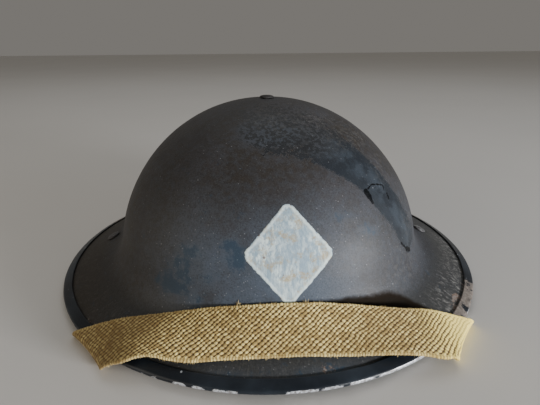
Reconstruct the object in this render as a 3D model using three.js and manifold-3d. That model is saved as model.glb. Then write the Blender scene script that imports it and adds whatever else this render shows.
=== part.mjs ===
// A steel "soup bowl" helmet: one pressed bowl with a sloping brim, a folded band round the brim's
// edge, a slotted screw through the crown, and a webbing chin strap worn forward over the brim.
// Millimetres, +Z up, front along -Y. The helmet rests on the back of its rim and on the strap,
// which passes under the rim at the front on both sides.

import * as THREE from 'three';
import { mergeVertices } from 'three/addons/utils/BufferGeometryUtils.js';
import Module from 'manifold-3d';

const wasm = await Module();
wasm.setup();

const DEGREE = Math.PI / 180;

// ---------------------------------------------------------------- driving dimensions

const GAP = 0.3; // running gap between neighbouring pieces

const RIM = { halfWidth: 146, halfLength: 151.3 }; // the rim band's outer edge, an ellipse
const BRIM = { slope: 25 * DEGREE, filletLength: 11 }; // rises inwards from the edge
const WALL = 1.0; // steel sheet of the shell

// The crown's plan is a superellipse a little nearer the front than the rim, its height a dome.
const CROWN = {
  halfWidth: 102.7,
  halfLength: 112.7,
  fullness: 2.24,
  shift: -2.5,
  base: 16.8,
  rise: 98.3,
  filletStart: 82 * DEGREE,
};

const BAND = { sheet: 0.8, width: 7, arcSteps: 3, jointGap: 0.5 };
const NOSE = WALL / 2 + GAP + BAND.sheet; // radius of the folded edge

const SCREW = {
  headRadius: 4.8,
  headHeight: 1.5,
  shankRadius: 2.4,
  length: 7,
  slotWidth: 1.1,
  slotDepth: 0.7,
};
const NUT = { acrossFlats: 8.5, height: 3.2, seat: 0.25 };

const LEFT = -1; // the sign of x on each side
const RIGHT = 1;

const HEAD = { skirt: 0.35, rows: 3 }; // a domed head: upright share of its height, rows above it

const RIVET = {
  x: 116.8,
  y: -1.6,
  headRadius: 4.75,
  headHeight: 1.7,
  shankRadius: 1.9,
  tailRadius: 3.1,
  tailHeight: 1.0,
};

// Each lug: a plate under the brim, a neck, and a loop of wire that the strap is sewn round.
const LUG = {
  plate: 1.5,
  seat: 0.15, // keeps the flat plate clear of the curved brim
  plateLength: 14,
  plateWidth: 14,
  neckX: 112,
  neckY: -6.8,
  neckZ: 9.4,
  neckLength: 8,
  neckWidth: 3,
  neckHeight: 5.2,
  wire: 2.8,
  loopDepth: 8,
  sideRoom: 1.2,
};
const LUG_BAR = { x: -97, y: -15, z: 8 }; // the middle of the left loop's front bar

const STRAP = {
  width: 27,
  thickness: 2,
  edgeRound: 0.6,
  tailLength: 24, // what is turned back and sewn down at each end
  tailTaper: 0.6, // where along the tail the single band begins
};

// Where each end of the strap folds round the rim, both given as on the left: a point on the
// bend's axis, the axis's heading towards the front, and the angle at which the strap crosses it.
const FOLDS = {
  left: { x: -97.0, y: -114.6, crease: -49.5 * DEGREE, crossing: 45 * DEGREE },
  right: { x: -100.2, y: -115.5, crease: -54.5 * DEGREE, crossing: 44 * DEGREE },
};
const WRAP = {
  radius: 3,
  from: -90 * DEGREE,
  to: 58 * DEGREE,
  steps: 7,
  flat: 2,
  hollow: 1.2, // how far the middle of the fold is drawn in from its corners
};
const REST = { strapContact: 78 }; // how far in front of the middle the strap meets the floor

// The strap's open run over the front brim: centre line and lean of its width from the floor.
const STRAP_RUN = [
  { x: -76, y: -120.3, z: 9.8, lean: 13 },
  { x: -60, y: -122.0, z: 12.6, lean: 18 },
  { x: -40, y: -124.6, z: 14.4, lean: 30 },
  { x: -20, y: -126.4, z: 16.1, lean: 37 },
  { x: 0, y: -127.0, z: 17.0, lean: 39.5 },
  { x: 20, y: -126.6, z: 16.5, lean: 38.5 },
  { x: 40, y: -125.1, z: 14.8, lean: 32 },
  { x: 60, y: -124.1, z: 12.6, lean: 24.5 },
  { x: 78, y: -123.2, z: 10.0, lean: 19 },
];

const CUTTER = 30; // longer than anything that it cuts through

// Steps round the shell and the band, down the dome and its fillet, and round small turned pieces
const COLUMNS = 72;
const DOME_ROWS = 12;
const FILLET_ROWS = 4;
const ROUND_SEGMENTS = 16;

// ---------------------------------------------------------------- finishes

const steelPaint = { color: 0x3b3d40, roughness: 0.55, metalness: 0.25 };
const bandPaint = { color: 0x1d2229, roughness: 0.45, metalness: 0.35 };
const bareSteel = { color: 0x6b675f, roughness: 0.45, metalness: 0.8 };
const khakiWeb = { color: 0xa8946a, roughness: 0.95, metalness: 0.0 };

// ---------------------------------------------------------------- solids and meshes

/** Turns a geometry into a manifold-3d solid, keeping only its positions. */
function toSolid(geometry) {
  const bare = geometry.clone();
  for (const name of Object.keys(bare.attributes)) {
    if (name !== 'position') bare.deleteAttribute(name);
  }
  const merged = mergeVertices(bare, 1e-4);
  const vertProperties = Float32Array.from(merged.attributes.position.array);
  const triVerts = Uint32Array.from(merged.index.array);
  return new wasm.Manifold(new wasm.Mesh({ numProp: 3, vertProperties, triVerts }));
}

/** Turns a manifold-3d solid back into a geometry. */
function toGeometry(solid) {
  const mesh = solid.getMesh();
  return indexedGeometry(Array.from(mesh.vertProperties), Array.from(mesh.triVerts));
}

function indexedGeometry(positions, triangles) {
  const geometry = new THREE.BufferGeometry();
  geometry.setAttribute('position', new THREE.Float32BufferAttribute(positions, 3));
  geometry.setIndex(triangles);
  geometry.computeVertexNormals();
  return geometry;
}

/** A named mesh with a material of its own. */
function piece(name, geometry, finish) {
  const mesh = new THREE.Mesh(geometry, new THREE.MeshStandardMaterial(finish));
  mesh.name = name;
  return mesh;
}

/** A cylinder or prism standing on +Z, from one height to another. */
function upright(radius, from, to, segments = ROUND_SEGMENTS) {
  const geometry = new THREE.CylinderGeometry(radius, radius, to - from, segments);
  geometry.rotateX(Math.PI / 2);
  return geometry.translate(0, 0, (from + to) / 2);
}

/** A turned piece from half its outline, given as radius and height from the lowest end up. */
function turned(outline) {
  const points = outline.map(([radius, height]) => new THREE.Vector2(radius, height));
  return new THREE.LatheGeometry(points, ROUND_SEGMENTS).rotateX(Math.PI / 2);
}

/** The outline of a low domed head above a given height, from its edge in to the axis. */
function domedHead(radius, height, base) {
  const skirt = height * HEAD.skirt;
  const outline = [[radius, base]];
  for (let i = 0; i <= HEAD.rows; i++) {
    const turn = (i / HEAD.rows) * (Math.PI / 2);
    outline.push([radius * Math.cos(turn), base + skirt + (height - skirt) * Math.sin(turn)]);
  }
  outline[outline.length - 1][0] = 0;
  return outline;
}

// ---------------------------------------------------------------- the shell's shape

/** The crown's plan radius in one direction from its own axis. */
function crownRadius(sine, cosine) {
  const across = Math.abs(sine / CROWN.halfWidth) ** CROWN.fullness;
  const along = Math.abs(cosine / CROWN.halfLength) ** CROWN.fullness;
  return (across + along) ** (-1 / CROWN.fullness);
}

/** The distance from the crown's axis to the middle of the folded edge in one direction. */
function edgeRadius(sine, cosine) {
  const a = RIM.halfWidth - NOSE;
  const b = RIM.halfLength - NOSE;
  const square = (sine / a) ** 2 + (cosine / b) ** 2;
  const half = (-cosine * CROWN.shift) / b ** 2;
  const rest = (CROWN.shift / b) ** 2 - 1;
  return (-half + Math.sqrt(half ** 2 - square * rest)) / square;
}

/** A point at a radius and height in the direction `turn` from the front, about the crown's axis. */
function around(turn, radius, height) {
  return new THREE.Vector3(Math.sin(turn) * radius, CROWN.shift - Math.cos(turn) * radius, height);
}

/** The outer surface in one direction: points with radius r, height z and the surface's normal. */
function outerProfile(turn) {
  const sine = Math.sin(turn);
  const cosine = Math.cos(turn);
  const crown = crownRadius(sine, cosine);
  const edge = edgeRadius(sine, cosine);
  const fall = Math.tan(BRIM.slope);
  const lift = WALL / 2 / Math.cos(BRIM.slope);
  const onDome = (angle) => ({
    r: crown * Math.sin(angle),
    z: CROWN.base + CROWN.rise * Math.cos(angle),
    nr: CROWN.rise * Math.sin(angle),
    nz: crown * Math.cos(angle),
  });

  const points = [];
  for (let i = 1; i <= DOME_ROWS; i++) points.push(onDome((CROWN.filletStart * i) / DOME_ROWS));

  // a parabolic fillet whose corner is where the dome's tangent meets the brim
  const top = points[points.length - 1];
  const dr = crown * Math.cos(CROWN.filletStart);
  const dz = -CROWN.rise * Math.sin(CROWN.filletStart);
  const reach = ((edge - top.r) * fall + lift - top.z) / (dz + dr * fall);
  const corner = { r: top.r + dr * reach, z: top.z + dz * reach };
  const foot = {
    r: corner.r + BRIM.filletLength * Math.cos(BRIM.slope),
    z: corner.z - BRIM.filletLength * Math.sin(BRIM.slope),
  };
  for (let i = 1; i <= FILLET_ROWS; i++) {
    const t = i / FILLET_ROWS;
    const mix = (key) => (1 - t) ** 2 * top[key] + 2 * t * (1 - t) * corner[key] + t ** 2 * foot[key];
    const slope = (key) => (1 - t) * (corner[key] - top[key]) + t * (foot[key] - corner[key]);
    points.push({ r: mix('r'), z: mix('z'), nr: -slope('z'), nz: slope('r') });
  }
  const edgeNormal = { nr: Math.sin(BRIM.slope), nz: Math.cos(BRIM.slope) };
  points.push({
    r: edge + (WALL / 2) * edgeNormal.nr,
    z: (WALL / 2) * edgeNormal.nz,
    ...edgeNormal,
  });
  return points;
}

/** The same point moved in through the wall. */
function throughWall({ r, z, nr, nz }) {
  const size = Math.hypot(nr, nz);
  return { r: r - (WALL * nr) / size, z: z - (WALL * nz) / size };
}

/** Closes rings of points, each ordered the same way, into a tube, a ring or a capped body. */
function loft(rings, { closed = false, firstPole = null, lastPole = null } = {}) {
  const count = rings[0].length;
  const vertices = rings.flat();
  const triangles = [];
  const spans = closed ? rings.length : rings.length - 1;
  for (let i = 0; i < spans; i++) {
    const here = i * count;
    const next = ((i + 1) % rings.length) * count;
    for (let j = 0; j < count; j++) {
      const k = (j + 1) % count;
      triangles.push(here + j, next + j, next + k, here + j, next + k, here + k);
    }
  }
  if (firstPole) {
    vertices.push(firstPole);
    for (let j = 0; j < count; j++) triangles.push(vertices.length - 1, j, (j + 1) % count);
  }
  if (lastPole) {
    const last = (rings.length - 1) * count;
    vertices.push(lastPole);
    for (let j = 0; j < count; j++) triangles.push(last + j, vertices.length - 1, last + ((j + 1) % count));
  }
  return indexedGeometry(vertices.flatMap((v) => [v.x, v.y, v.z]), triangles);
}

const directions = Array.from({ length: COLUMNS }, (_, i) => (i / COLUMNS) * 2 * Math.PI);

/** The pressed bowl and brim, before its holes. */
function shellBlank() {
  const outer = directions.map(outerProfile);
  const rows = outer[0].length;
  const ring = (row, place) => directions.map((turn, i) => {
    const { r, z } = place(outer[i][row]);
    return around(turn, r, z);
  });
  const rings = [];
  for (let row = 0; row < rows; row++) rings.push(ring(row, (point) => point));
  for (let row = rows - 1; row >= 0; row--) rings.push(ring(row, throughWall));
  const apex = CROWN.base + CROWN.rise;
  return loft(rings, { firstPole: around(0, 0, apex), lastPole: around(0, 0, apex - WALL) });
}

// ---------------------------------------------------------------- screw and rivets

function crownScrew() {
  const outline = [
    [0, -SCREW.length],
    [SCREW.shankRadius, -SCREW.length],
    [SCREW.shankRadius, GAP],
    ...domedHead(SCREW.headRadius, SCREW.headHeight, GAP),
  ];
  const slot = new THREE.BoxGeometry(CUTTER, SCREW.slotWidth, 2 * SCREW.slotDepth);
  slot.translate(0, 0, GAP + SCREW.headHeight);
  return toGeometry(toSolid(turned(outline)).subtract(toSolid(slot)));
}

function crownNut() {
  const top = -WALL - GAP - NUT.seat;
  const body = upright(NUT.acrossFlats / Math.sqrt(3), top - NUT.height, top, 6);
  const bore = upright(SCREW.shankRadius + GAP, top - CUTTER / 2, top + CUTTER / 2);
  return toGeometry(toSolid(body).subtract(toSolid(bore)));
}

/** The place of a rivet: in the middle of the brim's wall, its z axis along the brim's normal. */
function rivetFrame(side) {
  const turn = Math.atan2(side * RIVET.x, CROWN.shift - RIVET.y);
  const radius = Math.hypot(RIVET.x, RIVET.y - CROWN.shift);
  const inwards = edgeRadius(Math.sin(turn), Math.cos(turn)) - radius;
  const outwards = new THREE.Vector3(Math.sin(turn), -Math.cos(turn), 0);
  const normal = outwards.clone().multiplyScalar(Math.sin(BRIM.slope));
  normal.z = Math.cos(BRIM.slope);
  const along = new THREE.Vector3(-outwards.y, outwards.x, 0);
  const downhill = new THREE.Vector3().crossVectors(along, normal);
  const frame = new THREE.Matrix4().makeBasis(downhill, along, normal);
  return frame.setPosition(around(turn, radius, inwards * Math.tan(BRIM.slope)));
}

function strapRivet(side) {
  const underLug = -WALL / 2 - GAP - LUG.seat - LUG.plate - GAP;
  const outline = [
    [0, underLug - RIVET.tailHeight],
    [RIVET.tailRadius, underLug - RIVET.tailHeight],
    [RIVET.tailRadius, underLug],
    [RIVET.shankRadius, underLug],
    [RIVET.shankRadius, WALL / 2 + GAP],
    ...domedHead(RIVET.headRadius, RIVET.headHeight, WALL / 2 + GAP),
  ];
  return turned(outline).applyMatrix4(rivetFrame(side));
}

/** What has to be cut from the brim or the lug for a rivet's shank. */
function rivetHole(side) {
  const reach = WALL + 2 * LUG.plate;
  return toSolid(upright(RIVET.shankRadius + GAP, -reach, reach).applyMatrix4(rivetFrame(side)));
}

/** The shell with its holes for the screw and the rivets. */
function shell() {
  const screwHole = upright(SCREW.shankRadius + GAP, -SCREW.length, SCREW.length);
  screwHole.translate(0, CROWN.shift, CROWN.base + CROWN.rise);
  const drilled = toSolid(shellBlank())
    .subtract(toSolid(screwHole))
    .subtract(rivetHole(LEFT))
    .subtract(rivetHole(RIGHT));
  return toGeometry(drilled);
}

// ---------------------------------------------------------------- rim band

/** The folded strip's section: distance outwards and height, in the plane of the brim. */
function bandSection() {
  const inner = NOSE - BAND.sheet;
  const lip = NOSE - BAND.width;
  const arc = (radius, from, to) =>
    Array.from({ length: BAND.arcSteps + 1 }, (_, i) => {
      const turn = (from + ((to - from) * i) / BAND.arcSteps) * DEGREE;
      return [radius * Math.cos(turn), radius * Math.sin(turn)];
    });
  const inside = [[lip, inner], ...arc(inner, 90, -90), [lip, -inner]];
  return [[lip, NOSE], ...inside, [lip, -NOSE], ...arc(NOSE, -90, 90)];
}

function rimBand() {
  const section = bandSection();
  const rings = directions.map((turn) => {
    const edge = edgeRadius(Math.sin(turn), Math.cos(turn));
    return section.map(([out, up]) => around(
      turn,
      edge + out * Math.cos(BRIM.slope) + up * Math.sin(BRIM.slope),
      up * Math.cos(BRIM.slope) - out * Math.sin(BRIM.slope),
    ));
  });
  const joint = new THREE.BoxGeometry(BAND.jointGap, CUTTER, CUTTER).translate(0, RIM.halfLength, 0);
  return toGeometry(toSolid(loft(rings, { closed: true })).subtract(toSolid(joint)));
}

// ---------------------------------------------------------------- the strap's route

/**
 * One station of the strap: its middle, its heading, the way of its width, its outer face, and how
 * far its middle is drawn in from its selvages.
 */
function station(middle, heading, width) {
  const along = heading.clone().normalize();
  const across = width.clone().addScaledVector(along, -width.dot(along)).normalize();
  const face = new THREE.Vector3().crossVectors(along, across);
  return { middle, along, across, face, hollow: new THREE.Vector3() };
}

/**
 * The turn round the rim, from under it to over it: a flat band bent round the crease's axis. The
 * stations on the bend run along the crease, aslant to the strap, and flat square ones end it.
 */
function foldStations(fold) {
  const crease = new THREE.Vector3(Math.cos(fold.crease), Math.sin(fold.crease), 0);
  const outwards = new THREE.Vector3(crease.y, -crease.x, 0);
  const up = new THREE.Vector3(0, 0, 1);
  const sine = Math.sin(fold.crossing);
  const cosine = Math.cos(fold.crossing);
  const onBend = (turn) => {
    const face = outwards.clone().multiplyScalar(Math.cos(turn)).addScaledVector(up, Math.sin(turn));
    const round = outwards.clone().multiplyScalar(-Math.sin(turn)).addScaledVector(up, Math.cos(turn));
    const middle = new THREE.Vector3(fold.x, fold.y, 0)
      .addScaledVector(crease, (WRAP.radius * turn * cosine) / sine)
      .addScaledVector(face, WRAP.radius);
    const along = crease.clone().multiplyScalar(cosine).addScaledVector(round, sine);
    const hollow = outwards.clone().multiplyScalar(-WRAP.hollow);
    return { middle, along, across: crease.clone().divideScalar(-sine), face, hollow };
  };
  const square = (turn, distance) => {
    const { middle, along, face, hollow } = onBend(turn);
    const across = new THREE.Vector3().crossVectors(face, along);
    return station(middle.add(hollow).addScaledVector(along, distance), along, across);
  };
  const clear = (STRAP.width / 2) * (cosine / sine) + WRAP.flat;
  const bend = [];
  const sweep = WRAP.to - WRAP.from;
  for (let i = 0; i <= WRAP.steps; i++) bend.push(onBend(WRAP.from + (sweep * i) / WRAP.steps));
  return [square(WRAP.from, -clear), ...bend, square(WRAP.to, clear)];
}

/** The stations strictly between two others, on a smooth curve that keeps both headings. */
function bridge(from, to, steps) {
  const pull = from.middle.distanceTo(to.middle) / 3;
  const curve = new THREE.CubicBezierCurve3(
    from.middle,
    from.middle.clone().addScaledVector(from.along, pull),
    to.middle.clone().addScaledVector(to.along, -pull),
    to.middle,
  );
  const stations = [];
  for (let i = 1; i < steps; i++) {
    const t = i / steps;
    stations.push(station(curve.getPoint(t), curve.getTangent(t), from.across.clone().lerp(to.across, t)));
  }
  return stations;
}

/** The station at the middle of the lug bar, heading for the fold, on the left. */
function barStation(fold) {
  const bar = new THREE.Vector3(LUG_BAR.x, LUG_BAR.y, LUG_BAR.z);
  const heading = foldStations(fold)[0].middle.clone().sub(bar);
  return station(bar, heading, new THREE.Vector3(heading.y, -heading.x, 0));
}

/** The hidden part of the strap on the left, from its sewn end to above the rim. */
function hiddenRun(fold) {
  const bar = barStation(fold);
  const middle = bar.middle.clone()
    .addScaledVector(bar.along, STRAP.tailLength * STRAP.tailTaper)
    .addScaledVector(bar.face, STRAP.thickness / 2);
  const start = { ...bar, middle };
  const turn = foldStations(fold);
  return [start, ...bridge(start, turn[0], 6), ...turn];
}

/** The same stations on the other side, in the opposite order. */
function otherSide(stations) {
  const mirror = (v, sign = 1) => new THREE.Vector3(-v.x, v.y, v.z).multiplyScalar(sign);
  return stations.map(({ middle, along, across, face, hollow }) => ({
    middle: mirror(middle),
    along: mirror(along, -1),
    across: mirror(across),
    face: mirror(face),
    hollow: mirror(hollow),
  })).reverse();
}

/** The open run over the front brim, one station for each named row. */
function openRun() {
  const middles = STRAP_RUN.map((row) => new THREE.Vector3(row.x, row.y, row.z));
  const curve = new THREE.CatmullRomCurve3(middles);
  return STRAP_RUN.map((row, i) => {
    const lean = row.lean * DEGREE;
    const width = new THREE.Vector3(0, Math.cos(lean), Math.sin(lean));
    return station(middles[i], curve.getTangent(i / (STRAP_RUN.length - 1)), width);
  });
}

function strapStations() {
  const left = hiddenRun(FOLDS.left);
  const right = otherSide(hiddenRun(FOLDS.right));
  const knots = [left.at(-1), ...openRun(), right[0]];
  const run = knots.slice(1, -1).flatMap((knot, i) => [...bridge(knots[i], knot, 3), knot]);
  return [...left, ...run, ...bridge(knots.at(-2), right[0], 3), ...right];
}

// ---------------------------------------------------------------- strap and lugs

/** The flat section with eased edges, swept along the stations. */
function strapBody() {
  const half = STRAP.width / 2;
  const thick = STRAP.thickness / 2;
  const ease = STRAP.edgeRound;
  const top = [
    [-half, thick - ease],
    [ease - half, thick],
    [-half / 3, thick],
    [half / 3, thick],
    [half - ease, thick],
    [half, thick - ease],
  ];
  const section = [...top, ...top.map(([across, through]) => [-across, -through])];
  const stations = strapStations();
  const rings = stations.map(({ middle, across, face, hollow }) => section.map(([u, v]) => (
    middle.clone().addScaledVector(across, u).addScaledVector(face, v)
      .addScaledVector(hollow, 1 - (u / half) ** 2)
  )));
  return loft(rings, { firstPole: stations[0].middle, lastPole: stations.at(-1).middle });
}

/** The frame of a lug bar: x along the strap, y along the bar, z to the strap's outer face. */
function barFrame(side) {
  const bar = barStation(side === LEFT ? FOLDS.left : FOLDS.right);
  const frame = new THREE.Matrix4().makeBasis(bar.along, bar.across, bar.face).setPosition(bar.middle);
  const mirror = new THREE.Matrix4().makeScale(-1, 1, 1);
  return side === LEFT ? frame : mirror.multiply(frame).multiply(new THREE.Matrix4().makeScale(1, -1, 1));
}

/** The eye sewn at a strap end: the webbing goes round the bar and back along itself. */
function strapEye(side) {
  const inner = LUG.wire / 2 + GAP;
  const outer = inner + STRAP.thickness;
  const outline = new THREE.Shape();
  outline.moveTo(0, -outer);
  outline.absarc(0, 0, outer, -Math.PI / 2, Math.PI / 2, true);
  outline.lineTo(STRAP.tailLength / 2, STRAP.thickness);
  outline.lineTo(STRAP.tailLength, STRAP.thickness);
  outline.lineTo(STRAP.tailLength, -STRAP.thickness);
  outline.lineTo(STRAP.tailLength / 2, -STRAP.thickness);
  outline.holes.push(new THREE.Path().absarc(0, 0, inner, 0, 2 * Math.PI, false));
  const depth = STRAP.width - STRAP.edgeRound;
  const eye = new THREE.ExtrudeGeometry(outline, { depth, bevelEnabled: false, curveSegments: 6 });
  eye.translate(0, 0, -depth / 2).rotateX(-Math.PI / 2);
  return toSolid(eye.applyMatrix4(barFrame(side)));
}

function chinStrap() {
  return toGeometry(toSolid(strapBody()).add(strapEye(LEFT)).add(strapEye(RIGHT)));
}

/** A round wire between two points, its ends rounded. */
function wire(from, to) {
  const radius = LUG.wire / 2;
  const length = from.distanceTo(to);
  const rod = new THREE.CapsuleGeometry(radius, length, 2, 8).rotateX(Math.PI / 2);
  rod.translate(0, 0, length / 2);
  const heading = to.clone().sub(from).normalize();
  const turn = new THREE.Quaternion().setFromUnitVectors(new THREE.Vector3(0, 0, 1), heading);
  return toSolid(rod.applyQuaternion(turn).translate(from.x, from.y, from.z));
}

/** The lug: a loop of wire for the strap, necked up to a plate riveted under the brim. */
function strapLug(side) {
  const halfBar = STRAP.width / 2 + LUG.sideRoom + LUG.wire / 2;
  const corners = [[0, -halfBar], [0, halfBar], [-LUG.loopDepth, halfBar], [-LUG.loopDepth, -halfBar]]
    .map(([x, y]) => new THREE.Vector3(x, y, 0).applyMatrix4(barFrame(side)));
  const loop = corners.map((corner, i) => wire(corner, corners[(i + 1) % corners.length]));

  const plate = new THREE.BoxGeometry(LUG.plateLength, LUG.plateWidth, LUG.plate);
  plate.translate(0, 0, -WALL / 2 - GAP - LUG.seat - LUG.plate / 2).applyMatrix4(rivetFrame(side));
  const neck = new THREE.BoxGeometry(LUG.neckLength, LUG.neckWidth, LUG.neckHeight);
  neck.translate(side * LUG.neckX, LUG.neckY, LUG.neckZ);
  const solids = [toSolid(plate), toSolid(neck), ...loop];
  return toGeometry(solids.reduce((whole, next) => whole.add(next)).subtract(rivetHole(side)));
}

// ---------------------------------------------------------------- assembly

const helmet = new THREE.Group();
helmet.add(piece('shell', shell(), steelPaint));
helmet.add(piece('rim_band', rimBand(), bandPaint));

const crownTop = new THREE.Group();
crownTop.position.set(0, CROWN.shift, CROWN.base + CROWN.rise);
crownTop.add(piece('crown_screw', crownScrew(), steelPaint));
crownTop.add(piece('crown_nut', crownNut(), bareSteel));
helmet.add(crownTop);

for (const [name, side] of [['left', LEFT], ['right', RIGHT]]) {
  helmet.add(piece(`strap_rivet_${name}`, strapRivet(side), bareSteel));
  helmet.add(piece(`strap_lug_${name}`, strapLug(side), bareSteel));
}
helmet.add(piece('chin_strap', chinStrap(), khakiWeb));

// It leans back until the rim's back and the strap under the rim both meet the floor.
const strapDrop = WRAP.radius + STRAP.thickness / 2 - NOSE;
helmet.rotation.x = -Math.atan2(strapDrop, RIM.halfLength - NOSE + REST.strapContact);
const part = new THREE.Group();
part.add(helmet);
helmet.position.z = -new THREE.Box3().setFromObject(part, true).min.z;

export default part;
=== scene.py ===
"""A pressed steel helmet with a wide brim and a webbing chin strap, dressed for a render.

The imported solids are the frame. Each sub-assembly below is a class that holds its own sizes in
millimetres, builds its meshes round the frame and dresses them in procedural finishes. The
helmet is made upright, with its folded edge in the plane z = 0, and is then set down as it rests.
"""

import logging
import math
import random
from contextlib import contextmanager
from dataclasses import dataclass, field
from enum import Enum
from typing import Callable, Iterable, Iterator, Optional, Sequence, Union

import bmesh
import bpy
import numpy as np
from mathutils import Matrix, Vector, noise


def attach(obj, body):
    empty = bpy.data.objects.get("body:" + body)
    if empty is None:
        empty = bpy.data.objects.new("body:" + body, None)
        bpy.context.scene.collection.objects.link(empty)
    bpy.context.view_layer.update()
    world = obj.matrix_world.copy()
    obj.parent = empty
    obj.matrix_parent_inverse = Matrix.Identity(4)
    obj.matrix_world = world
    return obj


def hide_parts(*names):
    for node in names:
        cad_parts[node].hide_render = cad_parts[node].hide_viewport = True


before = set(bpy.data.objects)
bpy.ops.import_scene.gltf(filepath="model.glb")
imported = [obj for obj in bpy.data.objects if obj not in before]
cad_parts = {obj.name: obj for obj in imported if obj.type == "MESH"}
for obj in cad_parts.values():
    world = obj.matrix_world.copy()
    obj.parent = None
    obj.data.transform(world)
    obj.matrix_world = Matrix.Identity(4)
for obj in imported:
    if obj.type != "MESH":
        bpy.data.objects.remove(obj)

LOG = logging.getLogger("helmet")

MM = 0.001
FULL_TURN = 2 * math.pi
Point = tuple[float, float]
Colour = tuple[float, float, float]
Socket = bpy.types.NodeSocket
Value = Union[float, Socket]
Piece = bpy.types.Object
Node = bpy.types.Node
Tree = bpy.types.NodeTree
Finish = bpy.types.Material
Triple = tuple[float, float, float]
Spot = tuple[float, float, float, float, float]
Window = tuple[float, float, float, float, float]


class Side(Enum):
    """The two sides of the helmet, by the sign of x."""

    LEFT = -1
    RIGHT = 1

    @property
    def word(self) -> str:
        """The side's word, as the nodes' names have it."""
        return self.name.lower()


@dataclass(frozen=True)
class Stance:
    """How the upright helmet is set down: leaned back a little, and lifted on to the floor."""

    lean: float = math.radians(-0.6039)
    lift: float = 3.0205

    def matrix(self) -> Matrix:
        """The move from the upright helmet to the resting one, in metres."""
        return Matrix.Translation((0, 0, self.lift * MM)) @ Matrix.Rotation(self.lean, 4, "X")


STANCE = Stance()


@dataclass(frozen=True)
class Weave:
    """The webbing's weave: rows of leaning oval beads, each row half a bead on from the last.

    Repeat is the distance from bead to bead, and row that from row to row. Lean is how far a
    bead leans, in repeats for each row. Wide is a repeat over the oval's half length, and tall
    a row over its half height.
    """

    repeat: float = 3.0
    row: float = 1.3
    lean: float = 0.1
    wide: float = 2.75
    tall: float = 1.42


WEAVE = Weave()


# ---- the bench


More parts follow.
